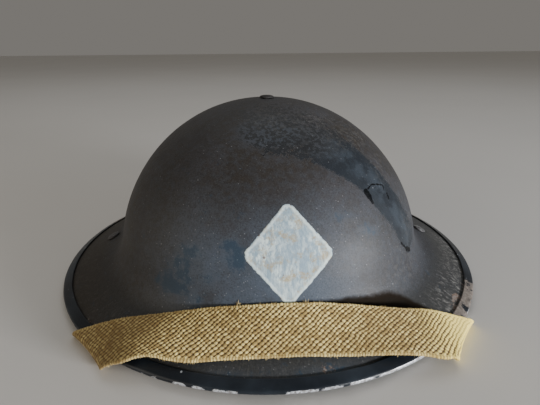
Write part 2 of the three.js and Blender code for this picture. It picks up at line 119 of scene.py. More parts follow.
class Bench:
    """Modelling steps that every sub-assembly shares."""

    @staticmethod
    def clear() -> None:
        """Deselects every object, so that the next operator acts on the new piece alone."""
        if bpy.context.mode != "OBJECT":
            bpy.ops.object.mode_set(mode="OBJECT")
        bpy.ops.object.select_all(action="DESELECT")

    @staticmethod
    def take(piece: Piece) -> None:
        """Selects one piece and makes it active."""
        Bench.clear()
        piece.select_set(True)
        bpy.context.view_layer.objects.active = piece

    @staticmethod
    @contextmanager
    def edit(piece: Piece) -> Iterator[Piece]:
        """Opens a piece in edit mode, and closes it afterwards.

        Args:
            piece: the mesh object to work on.

        Returns:
            The same object, with all of it selected.
        """
        Bench.take(piece)
        bpy.ops.object.mode_set(mode="EDIT")
        bpy.ops.mesh.select_all(action="SELECT")
        yield piece
        bpy.ops.mesh.select_mode(type="VERT")
        bpy.ops.object.mode_set(mode="OBJECT")

    @staticmethod
    def named(name: str) -> Piece:
        """Names the piece that has just been added, and returns it."""
        piece = bpy.context.active_object
        piece.name = name
        piece.data.name = name
        return piece

    @staticmethod
    def throw(name: str, turns: Sequence[float], rows: int, place: Callable[[float, int], Vector]) -> Piece:
        """Raises a body of rings, each extruded from the last one's edge.

        Args:
            name: the new piece's name.
            turns: the angle of each vertex of a ring, rising evenly.
            rows: how many rings there are.
            place: the place in millimetres of a vertex, from its turn and its ring.

        Returns:
            The new piece, open at its first and last ring.
        """
        def key(spot: Vector) -> tuple[float, ...]:
            """A place that two vertices share, whatever their last digits say."""
            return tuple(round(c, 7) for c in spot)

        Bench.clear()
        bpy.ops.mesh.primitive_circle_add(vertices=len(turns), radius=1.0)
        piece = Bench.named(name)
        where = {}
        for index, vertex in enumerate(piece.data.vertices):
            vertex.co = place(turns[index], 0) * MM
            where[key(vertex.co)] = index
        with Bench.edit(piece):
            for row in range(1, rows):
                bpy.ops.mesh.extrude_edges_move()
                mesh = bmesh.from_edit_mesh(piece.data)
                moved = {}
                for vertex in (one for one in mesh.verts if one.select):
                    index = where[key(vertex.co)]
                    vertex.co = place(turns[index], row) * MM
                    moved[key(vertex.co)] = index
                where = moved
                bmesh.update_edit_mesh(piece.data)
        return piece

    @staticmethod
    def pick(piece: Piece, kind: str, test: Callable[[object], bool]) -> None:
        """Selects, in edit mode, the elements that pass a test.

        Args:
            piece: the mesh object, open in edit mode.
            kind: VERT, EDGE or FACE.
            test: says for one element whether it is wanted.
        """
        bpy.ops.mesh.select_mode(type=kind)
        bpy.ops.mesh.select_all(action="DESELECT")
        mesh = bmesh.from_edit_mesh(piece.data)
        for one in {"VERT": mesh.verts, "EDGE": mesh.edges, "FACE": mesh.faces}[kind]:
            if test(one):
                one.select_set(True)
        bmesh.update_edit_mesh(piece.data)

    @staticmethod
    def modify(piece: Piece, kind: str, **settings: object) -> None:
        """Adds a modifier with these settings and applies it."""
        Bench.take(piece)
        modifier = piece.modifiers.new(kind.title(), kind)
        for key, value in settings.items():
            setattr(modifier, key, value)
        bpy.ops.object.modifier_apply(modifier=modifier.name)

    @staticmethod
    def cut(piece: Piece, cutter: Piece) -> None:
        """Takes a cutter's body out of a piece, and removes the cutter."""
        Bench.modify(piece, "BOOLEAN", object=cutter, operation="DIFFERENCE", solver="EXACT")
        bpy.data.objects.remove(cutter)

    @staticmethod
    def cap(piece: Piece) -> None:
        """Closes every open edge of a piece that is open in edit mode."""
        Bench.pick(piece, "EDGE", lambda edge: edge.is_boundary)
        bpy.ops.mesh.fill_holes(sides=0)

    @staticmethod
    def outwards(piece: Piece) -> None:
        """Merges doubled vertices and turns every face to the outside."""
        with Bench.edit(piece):
            bpy.ops.mesh.remove_doubles(threshold=1e-6)
            bpy.ops.mesh.normals_make_consistent()

    @staticmethod
    def smooth(piece: Piece, crease: float = math.radians(35)) -> None:
        """Shades a piece smooth, with hard edges where it turns by more than the crease."""
        Bench.take(piece)
        bpy.ops.object.shade_smooth_by_angle(angle=crease)

    @staticmethod
    def settle(piece: Piece, place: Optional[Matrix] = None) -> None:
        """Moves an upright piece to its place at rest, with the move kept in its mesh.

        Args:
            piece: the mesh object, modelled about the world's origin.
            place: where it goes on the upright helmet, in metres.
        """
        Bench.take(piece)
        piece.matrix_world = STANCE.matrix() @ (place or Matrix.Identity(4))
        bpy.ops.object.transform_apply()

    @staticmethod
    def fit(piece: Piece, material: Finish, slot: str, *nodes: str) -> None:
        """Finishes a piece and rides it on the body.

        Args:
            piece: the mesh object at rest.
            material: its finish.
            slot: its slot in the record; not used.
            nodes: the nodes of the frame that it stands for.
        """
        piece.data.materials.append(material)
        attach(piece, "root")
        if nodes:
            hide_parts(*nodes)
        triangles = sum(len(face.vertices) - 2 for face in piece.data.polygons)
        LOG.info("%s: %d triangles", piece.name, triangles)

    @staticmethod
    def points(piece: Piece) -> np.ndarray:
        """The piece's vertices in millimetres, one row each."""
        places = np.empty(3 * len(piece.data.vertices))
        piece.data.vertices.foreach_get("co", places)
        return places.reshape(-1, 3) / MM

    @staticmethod
    def normals(piece: Piece) -> np.ndarray:
        """The piece's vertex normals, one row each."""
        normals = np.empty(3 * len(piece.data.vertices))
        piece.data.vertex_normals.foreach_get("vector", normals)
        return normals.reshape(-1, 3)

    @staticmethod
    def mask(piece: Piece, name: str, values: np.ndarray) -> None:
        """Keeps one number for each vertex under a name that a material can read."""
        attribute = piece.data.attributes.new(name, "FLOAT", "POINT")
        attribute.data.foreach_set("value", values.astype(np.float32))


def smoothstep(low: float, high: float, values: np.ndarray) -> np.ndarray:
    """An even rise from 0 at low to 1 at high."""
    part = np.clip((values - low) / (high - low), 0, 1)
    return part * part * (3 - 2 * part)


def strongest(turns: np.ndarray, windows: Iterable[Window]) -> np.ndarray:
    """The strength of the strongest window at each turn.

    Args:
        turns: the turns in degrees from the front.
        windows: where each starts to open, is open, starts to close and is shut, and its strength.

    Returns:
        One strength for each turn, 0 outside every window.
    """
    strength = np.zeros(len(turns))
    for opens, opened, closes, shut, strong in windows:
        window = smoothstep(opens, opened, turns) * smoothstep(shut, closes, turns)
        strength = np.maximum(strength, strong * window)
    return strength


def outline_distance(points: np.ndarray, outline: Sequence[Point]) -> np.ndarray:
    """The distance of each point from a closed outline, below zero inside it.

    Args:
        points: one row of two coordinates for each point.
        outline: the outline's corners in order.

    Returns:
        One signed distance for each point, in the same unit.
    """
    corners = np.array(outline, dtype=float)
    nearest = np.full(len(points), np.inf)
    inside = np.zeros(len(points), dtype=bool)
    for start, end in zip(corners, np.roll(corners, -1, axis=0)):
        edge = end - start
        offset = points - start
        along = np.clip(offset @ edge / (edge @ edge), 0, 1)
        nearest = np.minimum(nearest, np.linalg.norm(offset - along[:, None] * edge, axis=1))
        crosses = (start[1] > points[:, 1]) != (end[1] > points[:, 1])
        slope = (points[:, 1] - start[1]) / (edge[1] if edge[1] else 1e-9)
        inside ^= crosses & (points[:, 0] < start[0] + slope * edge[0])
    return np.where(inside, -nearest, nearest)


# ---- shader graphs


class Graph:
    """Short calls for the nodes of one material or one node group."""

    def __init__(self, tree: Tree) -> None:
        """Starts placing nodes in a tree."""
        self.tree = tree
        self.column = 0

    def node(self, kind: str, **settings: object) -> Node:
        """Adds a node, sets its options and places it to the right of the last one."""
        node = self.tree.nodes.new(kind)
        for key, value in settings.items():
            setattr(node, key, value)
        node.location = (180 * self.column, -160 * (self.column % 4))
        self.column += 1
        return node

    def feed(self, socket: Socket, value: object) -> None:
        """Links a socket, or sets a plain value, to an input."""
        if isinstance(value, Socket):
            self.tree.links.new(value, socket)
        else:
            socket.default_value = value

    def fill(self, kind: str, values: Sequence[object], **settings: object) -> Node:
        """Adds a node and feeds its first inputs in order."""
        node = self.node(kind, **settings)
        for socket, value in zip(node.inputs, values):
            self.feed(socket, value)
        return node

    def wire(self, node: Node, **values: object) -> Socket:
        """Feeds a node's inputs, named in lower case, and returns its first output."""
        for key, value in values.items():
            self.feed(node.inputs[key.title()], value)
        return node.outputs[0]

    def math(self, operation: str, *values: Value, clamp: bool = False) -> Socket:
        """One Math node of up to three values."""
        return self.fill("ShaderNodeMath", values, operation=operation, use_clamp=clamp).outputs[0]

    def times(self, first: Value, second: Value) -> Socket:
        """The product of two numbers."""
        return self.math("MULTIPLY", first, second)

    def plus(self, first: Value, second: Value) -> Socket:
        """The sum of two numbers."""
        return self.math("ADD", first, second)

    def minus(self, first: Value, second: Value) -> Socket:
        """The first number less the second."""
        return self.math("SUBTRACT", first, second)

    def swing(self, value: Value, width: float) -> Socket:
        """Noise, which lies about 0.5, as an offset about 0 of this width."""
        return self.times(self.minus(value, 0.5), width)

    def join(self, *parts: Value) -> Socket:
        """A vector made of up to three numbers."""
        return self.fill("ShaderNodeCombineXYZ", parts).outputs[0]

    def vector(self, operation: str, *values: object, output: int = 0) -> Socket:
        """One Vector Math node: output 0 is a vector, and 1 a number."""
        return self.fill("ShaderNodeVectorMath", values, operation=operation).outputs[output]

    def blend(self, factor: Value, first: Value, second: Value) -> Socket:
        """A number between two others."""
        node = self.node("ShaderNodeMix", data_type="FLOAT")
        for index, value in ((0, factor), (2, first), (3, second)):
            self.feed(node.inputs[index], value)
        return node.outputs[0]

    def mix(self, factor: Value, first: object, second: object) -> Socket:
        """A colour between two others."""
        node = self.node("ShaderNodeMix", data_type="RGBA")
        self.feed(node.inputs[0], factor)
        for socket, value in ((node.inputs[6], first), (node.inputs[7], second)):
            self.feed(socket, value if isinstance(value, Socket) else (*value, 1.0))
        return node.outputs[2]

    def span(self, value: Value, low: float, high: float, start: float = 0.0, end: float = 1.0) -> Socket:
        """A smooth step from start to end as the value goes from low to high."""
        return self.fill("ShaderNodeMapRange", (value, low, high, start, end),
                         interpolation_type="SMOOTHSTEP").outputs[0]

    def noise(self, place: Socket, size: float, detail: float, roughness: float) -> Socket:
        """Noise whose lumps are about this many millimetres across."""
        return self.wire(self.node("ShaderNodeTexNoise"), vector=place, scale=1 / (size * MM),
                         detail=detail, roughness=roughness)

    def stretch(self, place: Socket, scale: Sequence[float], turn: Sequence[float] = (0, 0, 0),
                move: Sequence[float] = (0, 0, 0)) -> Socket:
        """A Mapping node that moves, turns and stretches a pattern."""
        return self.wire(self.node("ShaderNodeMapping"), vector=place, scale=scale,
                         rotation=turn, location=move)

    def bump(self, height: Socket, depth: float) -> Socket:
        """A Bump node whose full height is this many millimetres."""
        return self.wire(self.node("ShaderNodeBump"), height=height, distance=depth * MM, strength=1.0)

    def attribute(self, name: str) -> Socket:
        """A number that the mesh keeps for each vertex."""
        return self.node("ShaderNodeAttribute", attribute_name=name).outputs["Fac"]

    def object_place(self) -> Socket:
        """The surface's place in the object's own space, in metres."""
        return self.node("ShaderNodeTexCoord").outputs["Object"]

    def axes(self, place: Socket) -> Sequence[Socket]:
        """The three coordinates of a place."""
        return tuple(self.fill("ShaderNodeSeparateXYZ", (place,)).outputs)

    def use(self, group: Tree, **values: object) -> Sequence[Socket]:
        """Places a node group with its own values, and returns all its outputs."""
        node = self.node("ShaderNodeGroup", node_tree=group)
        self.wire(node, **values)
        return tuple(node.outputs)

    def texture(self, group: Tree, place: Socket, size: float, **values: object) -> Sequence[Socket]:
        """Places a node group whose pattern is about this many millimetres across."""
        return self.use(group, place=place, scale=1 / (size * MM), **values)


class Material(Graph):
    """A new material with one Principled BSDF."""

    def __init__(self, name: str) -> None:
        """Makes the material, its shader and its output."""
        self.material = bpy.data.materials.new(name)
        self.material.use_nodes = True
        super().__init__(self.material.node_tree)
        self.tree.nodes.clear()
        self.surface = self.node("ShaderNodeBsdfPrincipled")
        output = self.node("ShaderNodeOutputMaterial")
        self.feed(output.inputs["Surface"], self.surface.outputs[0])

    def finish(self, **values: object) -> Finish:
        """Feeds the shader's sockets, named in lower case, and returns the material."""
        for key, value in values.items():
            socket = self.surface.inputs[key.replace("_", " ").title().replace("Ior", "IOR")]
            self.feed(socket, (*value, 1.0) if isinstance(value, tuple) else value)
        return self.material


class Group(Graph):
    """A new node group, whose outputs are all plain numbers."""

    def __init__(self, name: str, inputs: dict[str, str], outputs: Sequence[str]) -> None:
        """Makes the group with its sockets.

        Args:
            name: the group's name.
            inputs: each input socket's name, with its kind.
            outputs: the names of its output sockets.
        """
        tree = bpy.data.node_groups.new(name, "ShaderNodeTree")
        for socket, kind in inputs.items():
            tree.interface.new_socket(name=socket, in_out="INPUT", socket_type=f"NodeSocket{kind}")
        for socket in outputs:
            tree.interface.new_socket(name=socket, in_out="OUTPUT", socket_type="NodeSocketFloat")
        super().__init__(tree)
        source = self.node("NodeGroupInput").outputs
        self.given = {socket: source[socket] for socket in inputs}
        self.sink = self.node("NodeGroupOutput").inputs

    def scaled_noise(self, factor: float, detail: float, roughness: float) -> Socket:
        """Noise at the group's own place, at this many times its own scale."""
        return self.wire(self.node("ShaderNodeTexNoise"), vector=self.given["Place"],
                         scale=self.times(self.given["Scale"], factor), detail=detail, roughness=roughness)

    def give(self, *values: Socket) -> Tree:
        """Feeds the group's outputs in order and returns the group."""
        for socket, value in zip(self.sink, values):
            self.feed(socket, value)
        return self.tree


class Effects:
    """Node groups that finishes use more than once, each built once."""

    def __init__(self) -> None:
        """Builds every group."""
        self.specks = self._specks()
        self.chips = self._chips()
        self.skin = self._skin()
        self.stroke = self._stroke()
        self.bead = self._bead()
        self.weave = self._weave()

    def _specks(self) -> Tree:
        """Small scattered specks: Share is how much of the surface may carry them."""
        g = Group("specks", {"Place": "Vector", "Scale": "Float", "Share": "Float"}, ["Mask"])
        dots = g.node("ShaderNodeTexVoronoi", feature="F1")
        g.wire(dots, vector=g.given["Place"], scale=g.given["Scale"])
        chance = g.fill("ShaderNodeSeparateColor", (dots.outputs["Color"],)).outputs
        radius = g.times(g.math("POWER", chance[0], 2.0), 0.34)
        present = g.math("LESS_THAN", chance[1], g.given["Share"])
        reach = g.math("DIVIDE", dots.outputs["Distance"], g.math("MAXIMUM", radius, 0.05))
        return g.give(g.times(g.span(reach, 1.15, 0.6), present))

    def _chips(self) -> Tree:
        """Chipped paint with ragged chips: Wear is how bare a place is."""
        g = Group("chips", {"Place": "Vector", "Scale": "Float", "Wear": "Float"}, ["Mask"])
        hold = g.plus(*(g.times(g.scaled_noise(factor, detail, 0.62), weight)
                        for factor, detail, weight in ((1.0, 5.0, 0.72), (5.5, 3.0, 0.28))))
        level = g.minus(g.plus(hold, g.given["Wear"]), 1.0)
        return g.give(g.span(level, -0.008, 0.012))

    def _skin(self) -> Tree:
        """The fine unevenness of brushed or sprayed paint: a height and a slow change of tone."""
        g = Group("paint_skin", {"Place": "Vector", "Scale": "Float"}, ["Height", "Tone"])
        fine, pores = g.scaled_noise(1.0, 4.0, 0.6), g.scaled_noise(2.7, 2.0, 0.5)
        height = g.plus(g.times(fine, 0.7), g.times(g.span(pores, 0.36, 0.52), 0.3))
        return g.give(height, g.scaled_noise(0.045, 4.0, 0.55))

    def _stroke(self) -> Tree:
        """How far a point of a plane is from a straight stroke, less half the stroke's width."""
        g = Group("stroke", {"Point": "Vector", "Start": "Vector", "End": "Vector",
                             "Width": "Float"}, ["Distance"])
        point, start, end, width = g.given.values()
        offset, edge = g.vector("SUBTRACT", point, start), g.vector("SUBTRACT", end, start)
        along = g.math("DIVIDE", g.vector("DOT_PRODUCT", offset, edge, output=1),
                       g.vector("DOT_PRODUCT", edge, edge, output=1), clamp=True)
        foot = g.wire(g.fill("ShaderNodeVectorMath", (edge,), operation="SCALE"), scale=along)
        away = g.vector("LENGTH", g.vector("SUBTRACT", offset, foot), output=1)
        return g.give(g.minus(away, g.times(width, 0.5)))

    def _bead(self) -> Tree:
        """One row's oval beads: Above is how many rows the place lies above the row's middle."""
        g = Group("bead", {"Along": "Float", "Row": "Float", "Above": "Float"}, ["Lift", "Tone"])
        along, row, above = g.given.values()
        shift = g.plus(g.times(row, 0.5), g.times(above, WEAVE.lean))
        count = g.minus(along, shift)
        bead = g.math("ROUND", count)
        wide = g.times(g.minus(count, bead), WEAVE.wide)
        tall = g.times(above, WEAVE.tall)
        size = g.plus(g.times(wide, wide), g.times(tall, tall))
        lift = g.math("SQRT", g.math("SUBTRACT", 1.0, size, clamp=True))
        chance = g.fill("ShaderNodeTexWhiteNoise", (g.join(row, bead),), noise_dimensions="3D")
        return g.give(lift, chance.outputs["Value"])

    def _weave(self) -> Tree:
        """The webbing's weave.

        Lift is the height of the higher bead from 0 to 1, and Tone a number that differs from
        bead to bead.
        """
        g = Group("weave", {"Place": "Vector"}, ["Lift", "Tone"])
        along, across, _ = g.axes(g.given["Place"])
        rows = g.math("DIVIDE", across, WEAVE.row * MM)
        count = g.math("DIVIDE", along, WEAVE.repeat * MM)
        near = g.math("ROUND", rows)
        above = g.minus(rows, near)
        step = g.minus(g.times(g.math("GREATER_THAN", above, 0.0), 2.0), 1.0)
        first, first_tone = g.use(self.bead, along=count, row=near, above=above)
        second, second_tone = g.use(self.bead, along=count, row=g.plus(near, step),
                                    above=g.minus(above, step))
        return g.give(g.math("MAXIMUM", first, second), g.blend(
            g.math("GREATER_THAN", second, first), first_tone, second_tone))


# ---- finishes


@dataclass(frozen=True)
class Ground:
    """What the layers of the shell's paint share: the graph, the place, noise and two masks."""

    m: Graph
    place: Socket
    x: Socket
    y: Socket
    z: Socket
    tone: Socket
    mottle: Socket
    grain: Socket
    run: Socket
    stipple: Socket


@dataclass(frozen=True)
class ShellPaint:
    """Satin charcoal paint with a dark run of blue-black paint and a hand-painted pale patch."""

    effects: Effects
    marks: "ShellMarks"
    charcoal: Colour = (0.038, 0.034, 0.035)
    umber: Colour = (0.025, 0.0195, 0.015)
    slate: Colour = (0.057, 0.075, 0.103)
    # dark grey for random cloudy tone, and for the painted shade low on the right
    soot_and_shade: Colour = (0.022, 0.021, 0.023)
    moss: Colour = (0.034, 0.035, 0.035)
    blue: Colour = (0.017, 0.036, 0.06)
    run: Colour = (0.011, 0.015, 0.021)
    run_light: Colour = (0.031, 0.041, 0.054)
    black: Colour = (0.008, 0.009, 0.011)
    grit: Colour = (0.12, 0.114, 0.104)
    dust: Colour = (0.34, 0.35, 0.37)
    scratch: Colour = (0.27, 0.265, 0.25)
    chalk: Colour = (0.68, 0.79, 0.78)
    chalk_grey: Colour = (0.22, 0.32, 0.41)
    ochre: Colour = (0.38, 0.3, 0.16)
    rust: Colour = (0.12, 0.065, 0.038)
    primer: Colour = (0.19, 0.165, 0.15)
    # dark brown painted shade: the strap's shadow on the steel, and the shade on the left of the brim
    painted_shade: Colour = (0.02, 0.014, 0.008)

    def coat(self, on: Ground) -> tuple[Socket, Socket]:
        """The charcoal coat, with mottle and blots, and painted light: browner shade to the left, a bluish
        sheen low in front, and shade low on the right.

        Args:
            on: what the layers share.

        Returns:
            Its colour, and how much each place belongs to the lower front, where the sheen is painted and
            more dust lies.
        """
        m, place, x, y, z = on.m, on.place, on.x, on.y, on.z
        broad = m.noise(place, 30, 5, 0.6)
        # low: painted bluish sheen over the lower front of the dome, weaker to the right; it also raises the
        # share of dust
        low = m.times(m.span(z, 0.092, 0.04), m.span(x, -0.085, -0.03))
        low = m.times(low, m.span(y, 0.01, -0.06, 0.15, 1.0))
        low = m.times(low, m.span(x, 0.02, 0.06, 1.0, 0.35))
        # painted shade over the lower right of the dome, to damp its highlight
        shade = m.times(m.span(x, 0.03, 0.065, 0.0, 0.4), m.span(z, 0.075, 0.045))
        brim, blot = m.attribute("brim"), m.attribute("blot")
        ragged = m.plus(blot, m.swing(m.noise(place, 5.0, 7, 0.78), 4.2))
        clear = m.span(on.stipple, 0.05, 0.35, 1.0, 0.0)
        colour = m.mix(m.span(on.tone, 0.38, 0.62), self.umber, self.charcoal)
        for factor, layer in (
                # painted shade and brown reflection: browner towards the left, away from the window light
                (m.span(x, -0.02, -0.1, 0.0, 0.7), self.umber),
                # painted bluish sheen low in front, then painted shade low on the right
                (m.times(low, m.span(broad, 0.3, 0.6, 0.5, 1.0)), self.slate), (shade, self.soot_and_shade),
                (m.span(on.mottle, 0.34, 0.72, 0.0, 0.3), self.slate),
                (m.times(brim, m.span(broad, 0.3, 0.6, 0.7, 1.0)), self.moss),
                # painted shade over the left of the brim, away from the window light
                (m.times(brim, m.span(x, -0.07, -0.12, 0.0, 0.85)), self.painted_shade),
                (m.span(on.grain, 0.52, 0.34, 0.0, 0.46), self.black),
                (m.span(on.grain, 0.54, 0.74, 0.0, 0.22), self.grit),
                (m.span(m.noise(place, 17, 5, 0.66), 0.52, 0.68, 0.0, 0.45), self.soot_and_shade),
                (m.span(blot, 0.05, 0.8, 0.0, 0.4), self.slate),
                (m.times(m.span(ragged, 0.38, 0.86, 0.0, 0.86), clear), self.blue)):
            colour = m.mix(factor, colour, layer)
        return colour, low

    def add_run(self, on: Ground, base: Socket) -> tuple[Socket, Socket]:
        """Lays the run over the coat: crisp low down, and stippled away at its upper end.

        Args:
            on: what the layers share.
            base: the coat's colour.

        Returns:
            The colour with the run and the dust about it, and where the run is.
        """
        m, place = on.m, on.place
        flakes = m.noise(place, 2.5, 2.0, 0.62)
        crisp = m.swing(m.noise(place, 1.3, 6, 0.75), 8.0)
        edge = m.plus(on.run, m.plus(crisp, m.times(m.swing(flakes, 56.0), on.stipple)))
        mask = m.span(edge, 0.7, -0.7)
        cloud = m.span(m.noise(place, 13, 6, 0.66), 0.4, 0.58)
        tone = m.mix(m.times(cloud, m.span(on.run, -1.5, -7.0, 0.15, 0.85)), self.run, self.run_light)
        tone = m.mix(m.span(on.grain, 0.56, 0.76, 0.0, 0.22), tone, self.grit)
        tone = m.mix(m.times(on.stipple, 0.55), tone, base)
        tone = m.mix(m.times(m.span(flakes, 0.56, 0.46), on.stipple), tone, self.black)
        dusty = m.times(m.attribute("dusty"), m.span(m.noise(place, 3.0, 4, 0.72), 0.5, 0.58))
        return m.mix(m.times(dusty, 0.28), m.mix(mask, base, tone), self.grit), mask

    def cracks(self, on: Ground) -> Socket:
        """Where the paint is cracked or chipped away down to a dark line.

        Args:
            on: what the layers share.

        Returns:
            A mask of the strokes, ragged at their edges.
        """
        m, lean = on.m, self.marks.lean
        point = m.join(on.x, m.plus(m.times(on.y, lean[0]), m.times(on.z, lean[1])))
        nearest: Optional[Socket] = None
        for width, line in self.marks.cracks:
            for start, end in zip(line, line[1:]):
                distance, = m.use(self.effects.stroke, point=point, width=width * MM,
                                  start=(start[0] * MM, start[1] * MM, 0), end=(end[0] * MM, end[1] * MM, 0))
                nearest = distance if nearest is None else m.math("MINIMUM", nearest, distance)
        ragged = m.plus(nearest, m.swing(m.noise(on.place, 1.6, 4, 0.7), 2.2 * MM))
        return m.times(m.span(ragged, 0.3 * MM, 0.05 * MM), m.math("LESS_THAN", on.run, 30.0))

    def wear(self, on: Ground, colour: Socket, low: Socket) -> Socket:
        """Lays settled dust, scrapes round the brim and rubbed spots over the paint.

        Args:
            on: what the layers share.
            colour: the paint's colour.
            low: how much each place belongs to the lower front, with its painted sheen, where more dust
                lies.

        Returns:
            The worn colour.
        """
        m, place = on.m, on.place
        fine, = m.texture(self.effects.specks, place, 1.0, share=m.plus(0.07, m.times(low, 0.26)))
        coarse, = m.texture(self.effects.specks, place, 2.0, share=0.012)
        dust = m.math("MAXIMUM", m.times(fine, 0.42), m.times(coarse, 0.3))
        colour = m.mix(dust, colour, self.dust)
        turn = m.math("ARCTAN2", on.x, m.times(on.y, -1.0))
        reach = m.math("SQRT", m.plus(m.times(on.x, on.x), m.times(on.y, on.y)))
        spread = m.join(m.times(turn, 0.13), m.times(reach, 0.12), m.times(on.z, 0.12))
        streak = m.span(m.noise(spread, 0.62, 3, 0.6), 0.52, 0.58)
        broken = m.span(m.noise(place, 2.2, 4, 0.7), 0.45, 0.55)
        scraped = m.times(m.times(streak, broken), m.attribute("scuff"))
        colour = m.mix(m.times(scraped, 0.7), colour, self.scratch)
        rubbed, = m.texture(self.effects.chips, place, 7.0, wear=m.attribute("bare"))
        worn = m.mix(m.span(m.noise(place, 1.1, 3, 0.7), 0.42, 0.56), self.rust, self.primer)
        return m.mix(rubbed, colour, worn)

    def patch(self, on: Ground) -> tuple[Socket, Socket, Socket]:
        """The pale patch: brushed up and down, stained, and thicker along its edges.

        Args:
            on: what the layers share.

        Returns:
            Its colour, where it covers the paint, and the height of its brushed surface.
        """
        m, place = on.m, on.place
        edge = m.plus(m.attribute("patch"), m.swing(m.noise(place, 2.6, 3, 0.6), 1.5))
        bristle = m.noise(m.stretch(place, (1.0, 1.0, 0.05)), 1.15, 4, 0.7)
        strand = m.noise(m.stretch(place, (1.0, 1.0, 0.035)), 2.6, 2, 0.5)
        cloud = m.noise(m.stretch(place, (1.0, 1.0, 0.3), move=(0.4, 0.2, 0.1)), 8.0, 5, 0.62)
        stain = m.times(m.span(m.noise(place, 6.5, 6, 0.66), 0.5, 0.62),
                        m.span(m.noise(place, 1.3, 4, 0.7), 0.34, 0.6, 0.35, 0.85))
        ridge = m.times(m.span(edge, -2.3, -1.0), m.span(edge, 0.1, -0.6))
        pin, = m.texture(self.effects.specks, place, 2.6, share=0.16)
        colour: object = self.chalk
        for factor, layer in (
                (m.times(m.span(cloud, 0.4, 0.62), 0.6), self.chalk_grey),
                (m.span(strand, 0.54, 0.44, 0.0, 0.55), self.chalk_grey),
                (m.span(bristle, 0.38, 0.6, 0.85, 0.0), self.chalk_grey), (stain, self.ochre),
                (m.times(ridge, m.span(on.mottle, 0.3, 0.7, 0.35, 1.0)), self.chalk),
                (m.times(pin, 0.8), self.rust)):
            colour = m.mix(factor, colour, layer)
        brushed = m.plus(m.plus(m.times(bristle, 0.55), m.times(ridge, 0.9)), 0.7)
        return colour, m.span(edge, 0.2, -0.14), brushed

    def material(self) -> Finish:
        """Builds the material.

        Returns:
            The finished material, which reads the shell's own masks.
        """
        m = Material("shell_paint")
        place = m.object_place()
        height, tone = m.texture(self.effects.skin, place, 1.6)
        on = Ground(m, place, *m.axes(place), tone, m.noise(place, 3.4, 6, 0.66),
                    m.noise(place, 0.85, 3, 0.72), m.attribute("run"), m.attribute("stipple"))
        colour, low = self.coat(on)
        colour, run = self.add_run(on, colour)
        crack = self.cracks(on)
        colour = m.mix(m.times(crack, 0.92), colour, self.black)
        colour = self.wear(on, colour, low)
        # painted shadow of the strap's upper edge on the steel behind it
        strap_shadow = m.plus(m.attribute("strap_shadow"), m.swing(m.noise(place, 5.0, 4, 0.6), 3.0))
        strap_shadow_cover = m.span(strap_shadow, 1.6, -1.8)
        colour = m.mix(m.times(strap_shadow_cover, 0.92), colour, self.painted_shade)
        chalk, cover, brushed = self.patch(on)
        colour = m.mix(cover, colour, chalk)

        rough, relief = m.plus(0.46, m.times(tone, 0.22)), m.times(height, 0.45)
        for part, weight in ((run, -0.1), (cover, 0.1), (strap_shadow_cover, 0.35)):
            rough = m.plus(rough, m.times(part, weight))
        for part, weight in ((on.mottle, 0.25), (on.grain, 0.45), (run, 0.65), (crack, -1.1),
                             (cover, brushed)):
            relief = m.plus(relief, m.times(part, weight))
        # the painted strap shadow is made metallic, so that it shows no sheen and stays dark
        metal = m.math("MAXIMUM", m.times(strap_shadow_cover, 0.8), m.times(crack, 0.85))
        return m.finish(base_color=colour, roughness=rough, metallic=metal,
                        specular_ior_level=0.39, normal=m.bump(relief, 0.16))


@dataclass(frozen=True)
class BandPaint:
    """Semi-gloss blue-black paint over a folded strip, chipped to bright metal at its edge, the chips at the
    front right also a painted highlight.
    """

    effects: Effects
    ink: Colour = (0.007, 0.01, 0.015)
    ink_light: Colour = (0.018, 0.025, 0.034)
    silver: Colour = (0.7, 0.74, 0.8)
    primer: Colour = (0.11, 0.093, 0.08)
    pale_primer: Colour = (0.2, 0.175, 0.155)

    def material(self) -> Finish:
        """Builds the material.

        Returns:
            The finished material, which reads the band's masks of wear.
        """
        m = Material("band_paint")
        place = m.object_place()
        height, tone = m.texture(self.effects.skin, place, 1.3)
        dust, = m.texture(self.effects.specks, place, 2.2, share=0.1)
        chip, = m.texture(self.effects.chips, place, 3.0, wear=m.attribute("wear"))
        worn, = m.texture(self.effects.chips, m.stretch(place, (1, 1, 1), move=(0.3, 0.1, 0.2)),
                          6.5, wear=m.attribute("bare"))
        patina = m.mix(m.span(m.noise(place, 1.5, 4, 0.7), 0.35, 0.7), self.silver, self.primer)
        grey = m.mix(m.span(m.noise(place, 2.4, 5, 0.7), 0.36, 0.66), self.primer, self.pale_primer)
        colour = m.mix(m.span(tone, 0.4, 0.68), self.ink, self.ink_light)
        for factor, layer in ((m.times(dust, 0.45), self.silver), (chip, patina), (worn, grey)):
            colour = m.mix(factor, colour, layer)
        rough = m.plus(m.plus(m.times(tone, 0.2), 0.26), m.times(worn, 0.28))
        relief = m.minus(m.minus(m.times(height, 0.4), m.times(chip, 0.8)), m.times(worn, 0.7))
        return m.finish(base_color=colour, roughness=rough, metallic=m.times(chip, 0.25),
                        specular_ior_level=0.36, normal=m.bump(relief, 0.14))


@dataclass(frozen=True)
class FittingSteel:
    """Small steel fittings: dull metal under remains of paint, which are worn off the crown."""

    effects: Effects
    name: str
    paint: Colour
    metal: Colour = (0.36, 0.35, 0.34)
    wear: float = 0.5
    rough: float = 0.36

    def material(self) -> Finish:
        """Builds the material.

        Returns:
            The finished material, which reads the mask of the crown.
        """
        m = Material(self.name)
        place = m.object_place()
        height, tone = m.texture(self.effects.skin, place, 0.9)
        bare, = m.texture(self.effects.chips, place, 2.6, wear=m.plus(m.attribute("crown"), self.wear))
        patina = m.mix(m.span(m.noise(place, 1.1, 5, 0.7), 0.34, 0.7), self.metal,
                       tuple(0.35 * part for part in self.metal))
        return m.finish(base_color=m.mix(bare, self.paint, patina),
                        roughness=m.plus(self.rough, m.times(tone, 0.3)), metallic=m.times(bare, 0.7),
                        normal=m.bump(m.minus(height, m.times(bare, 0.6)), 0.1))


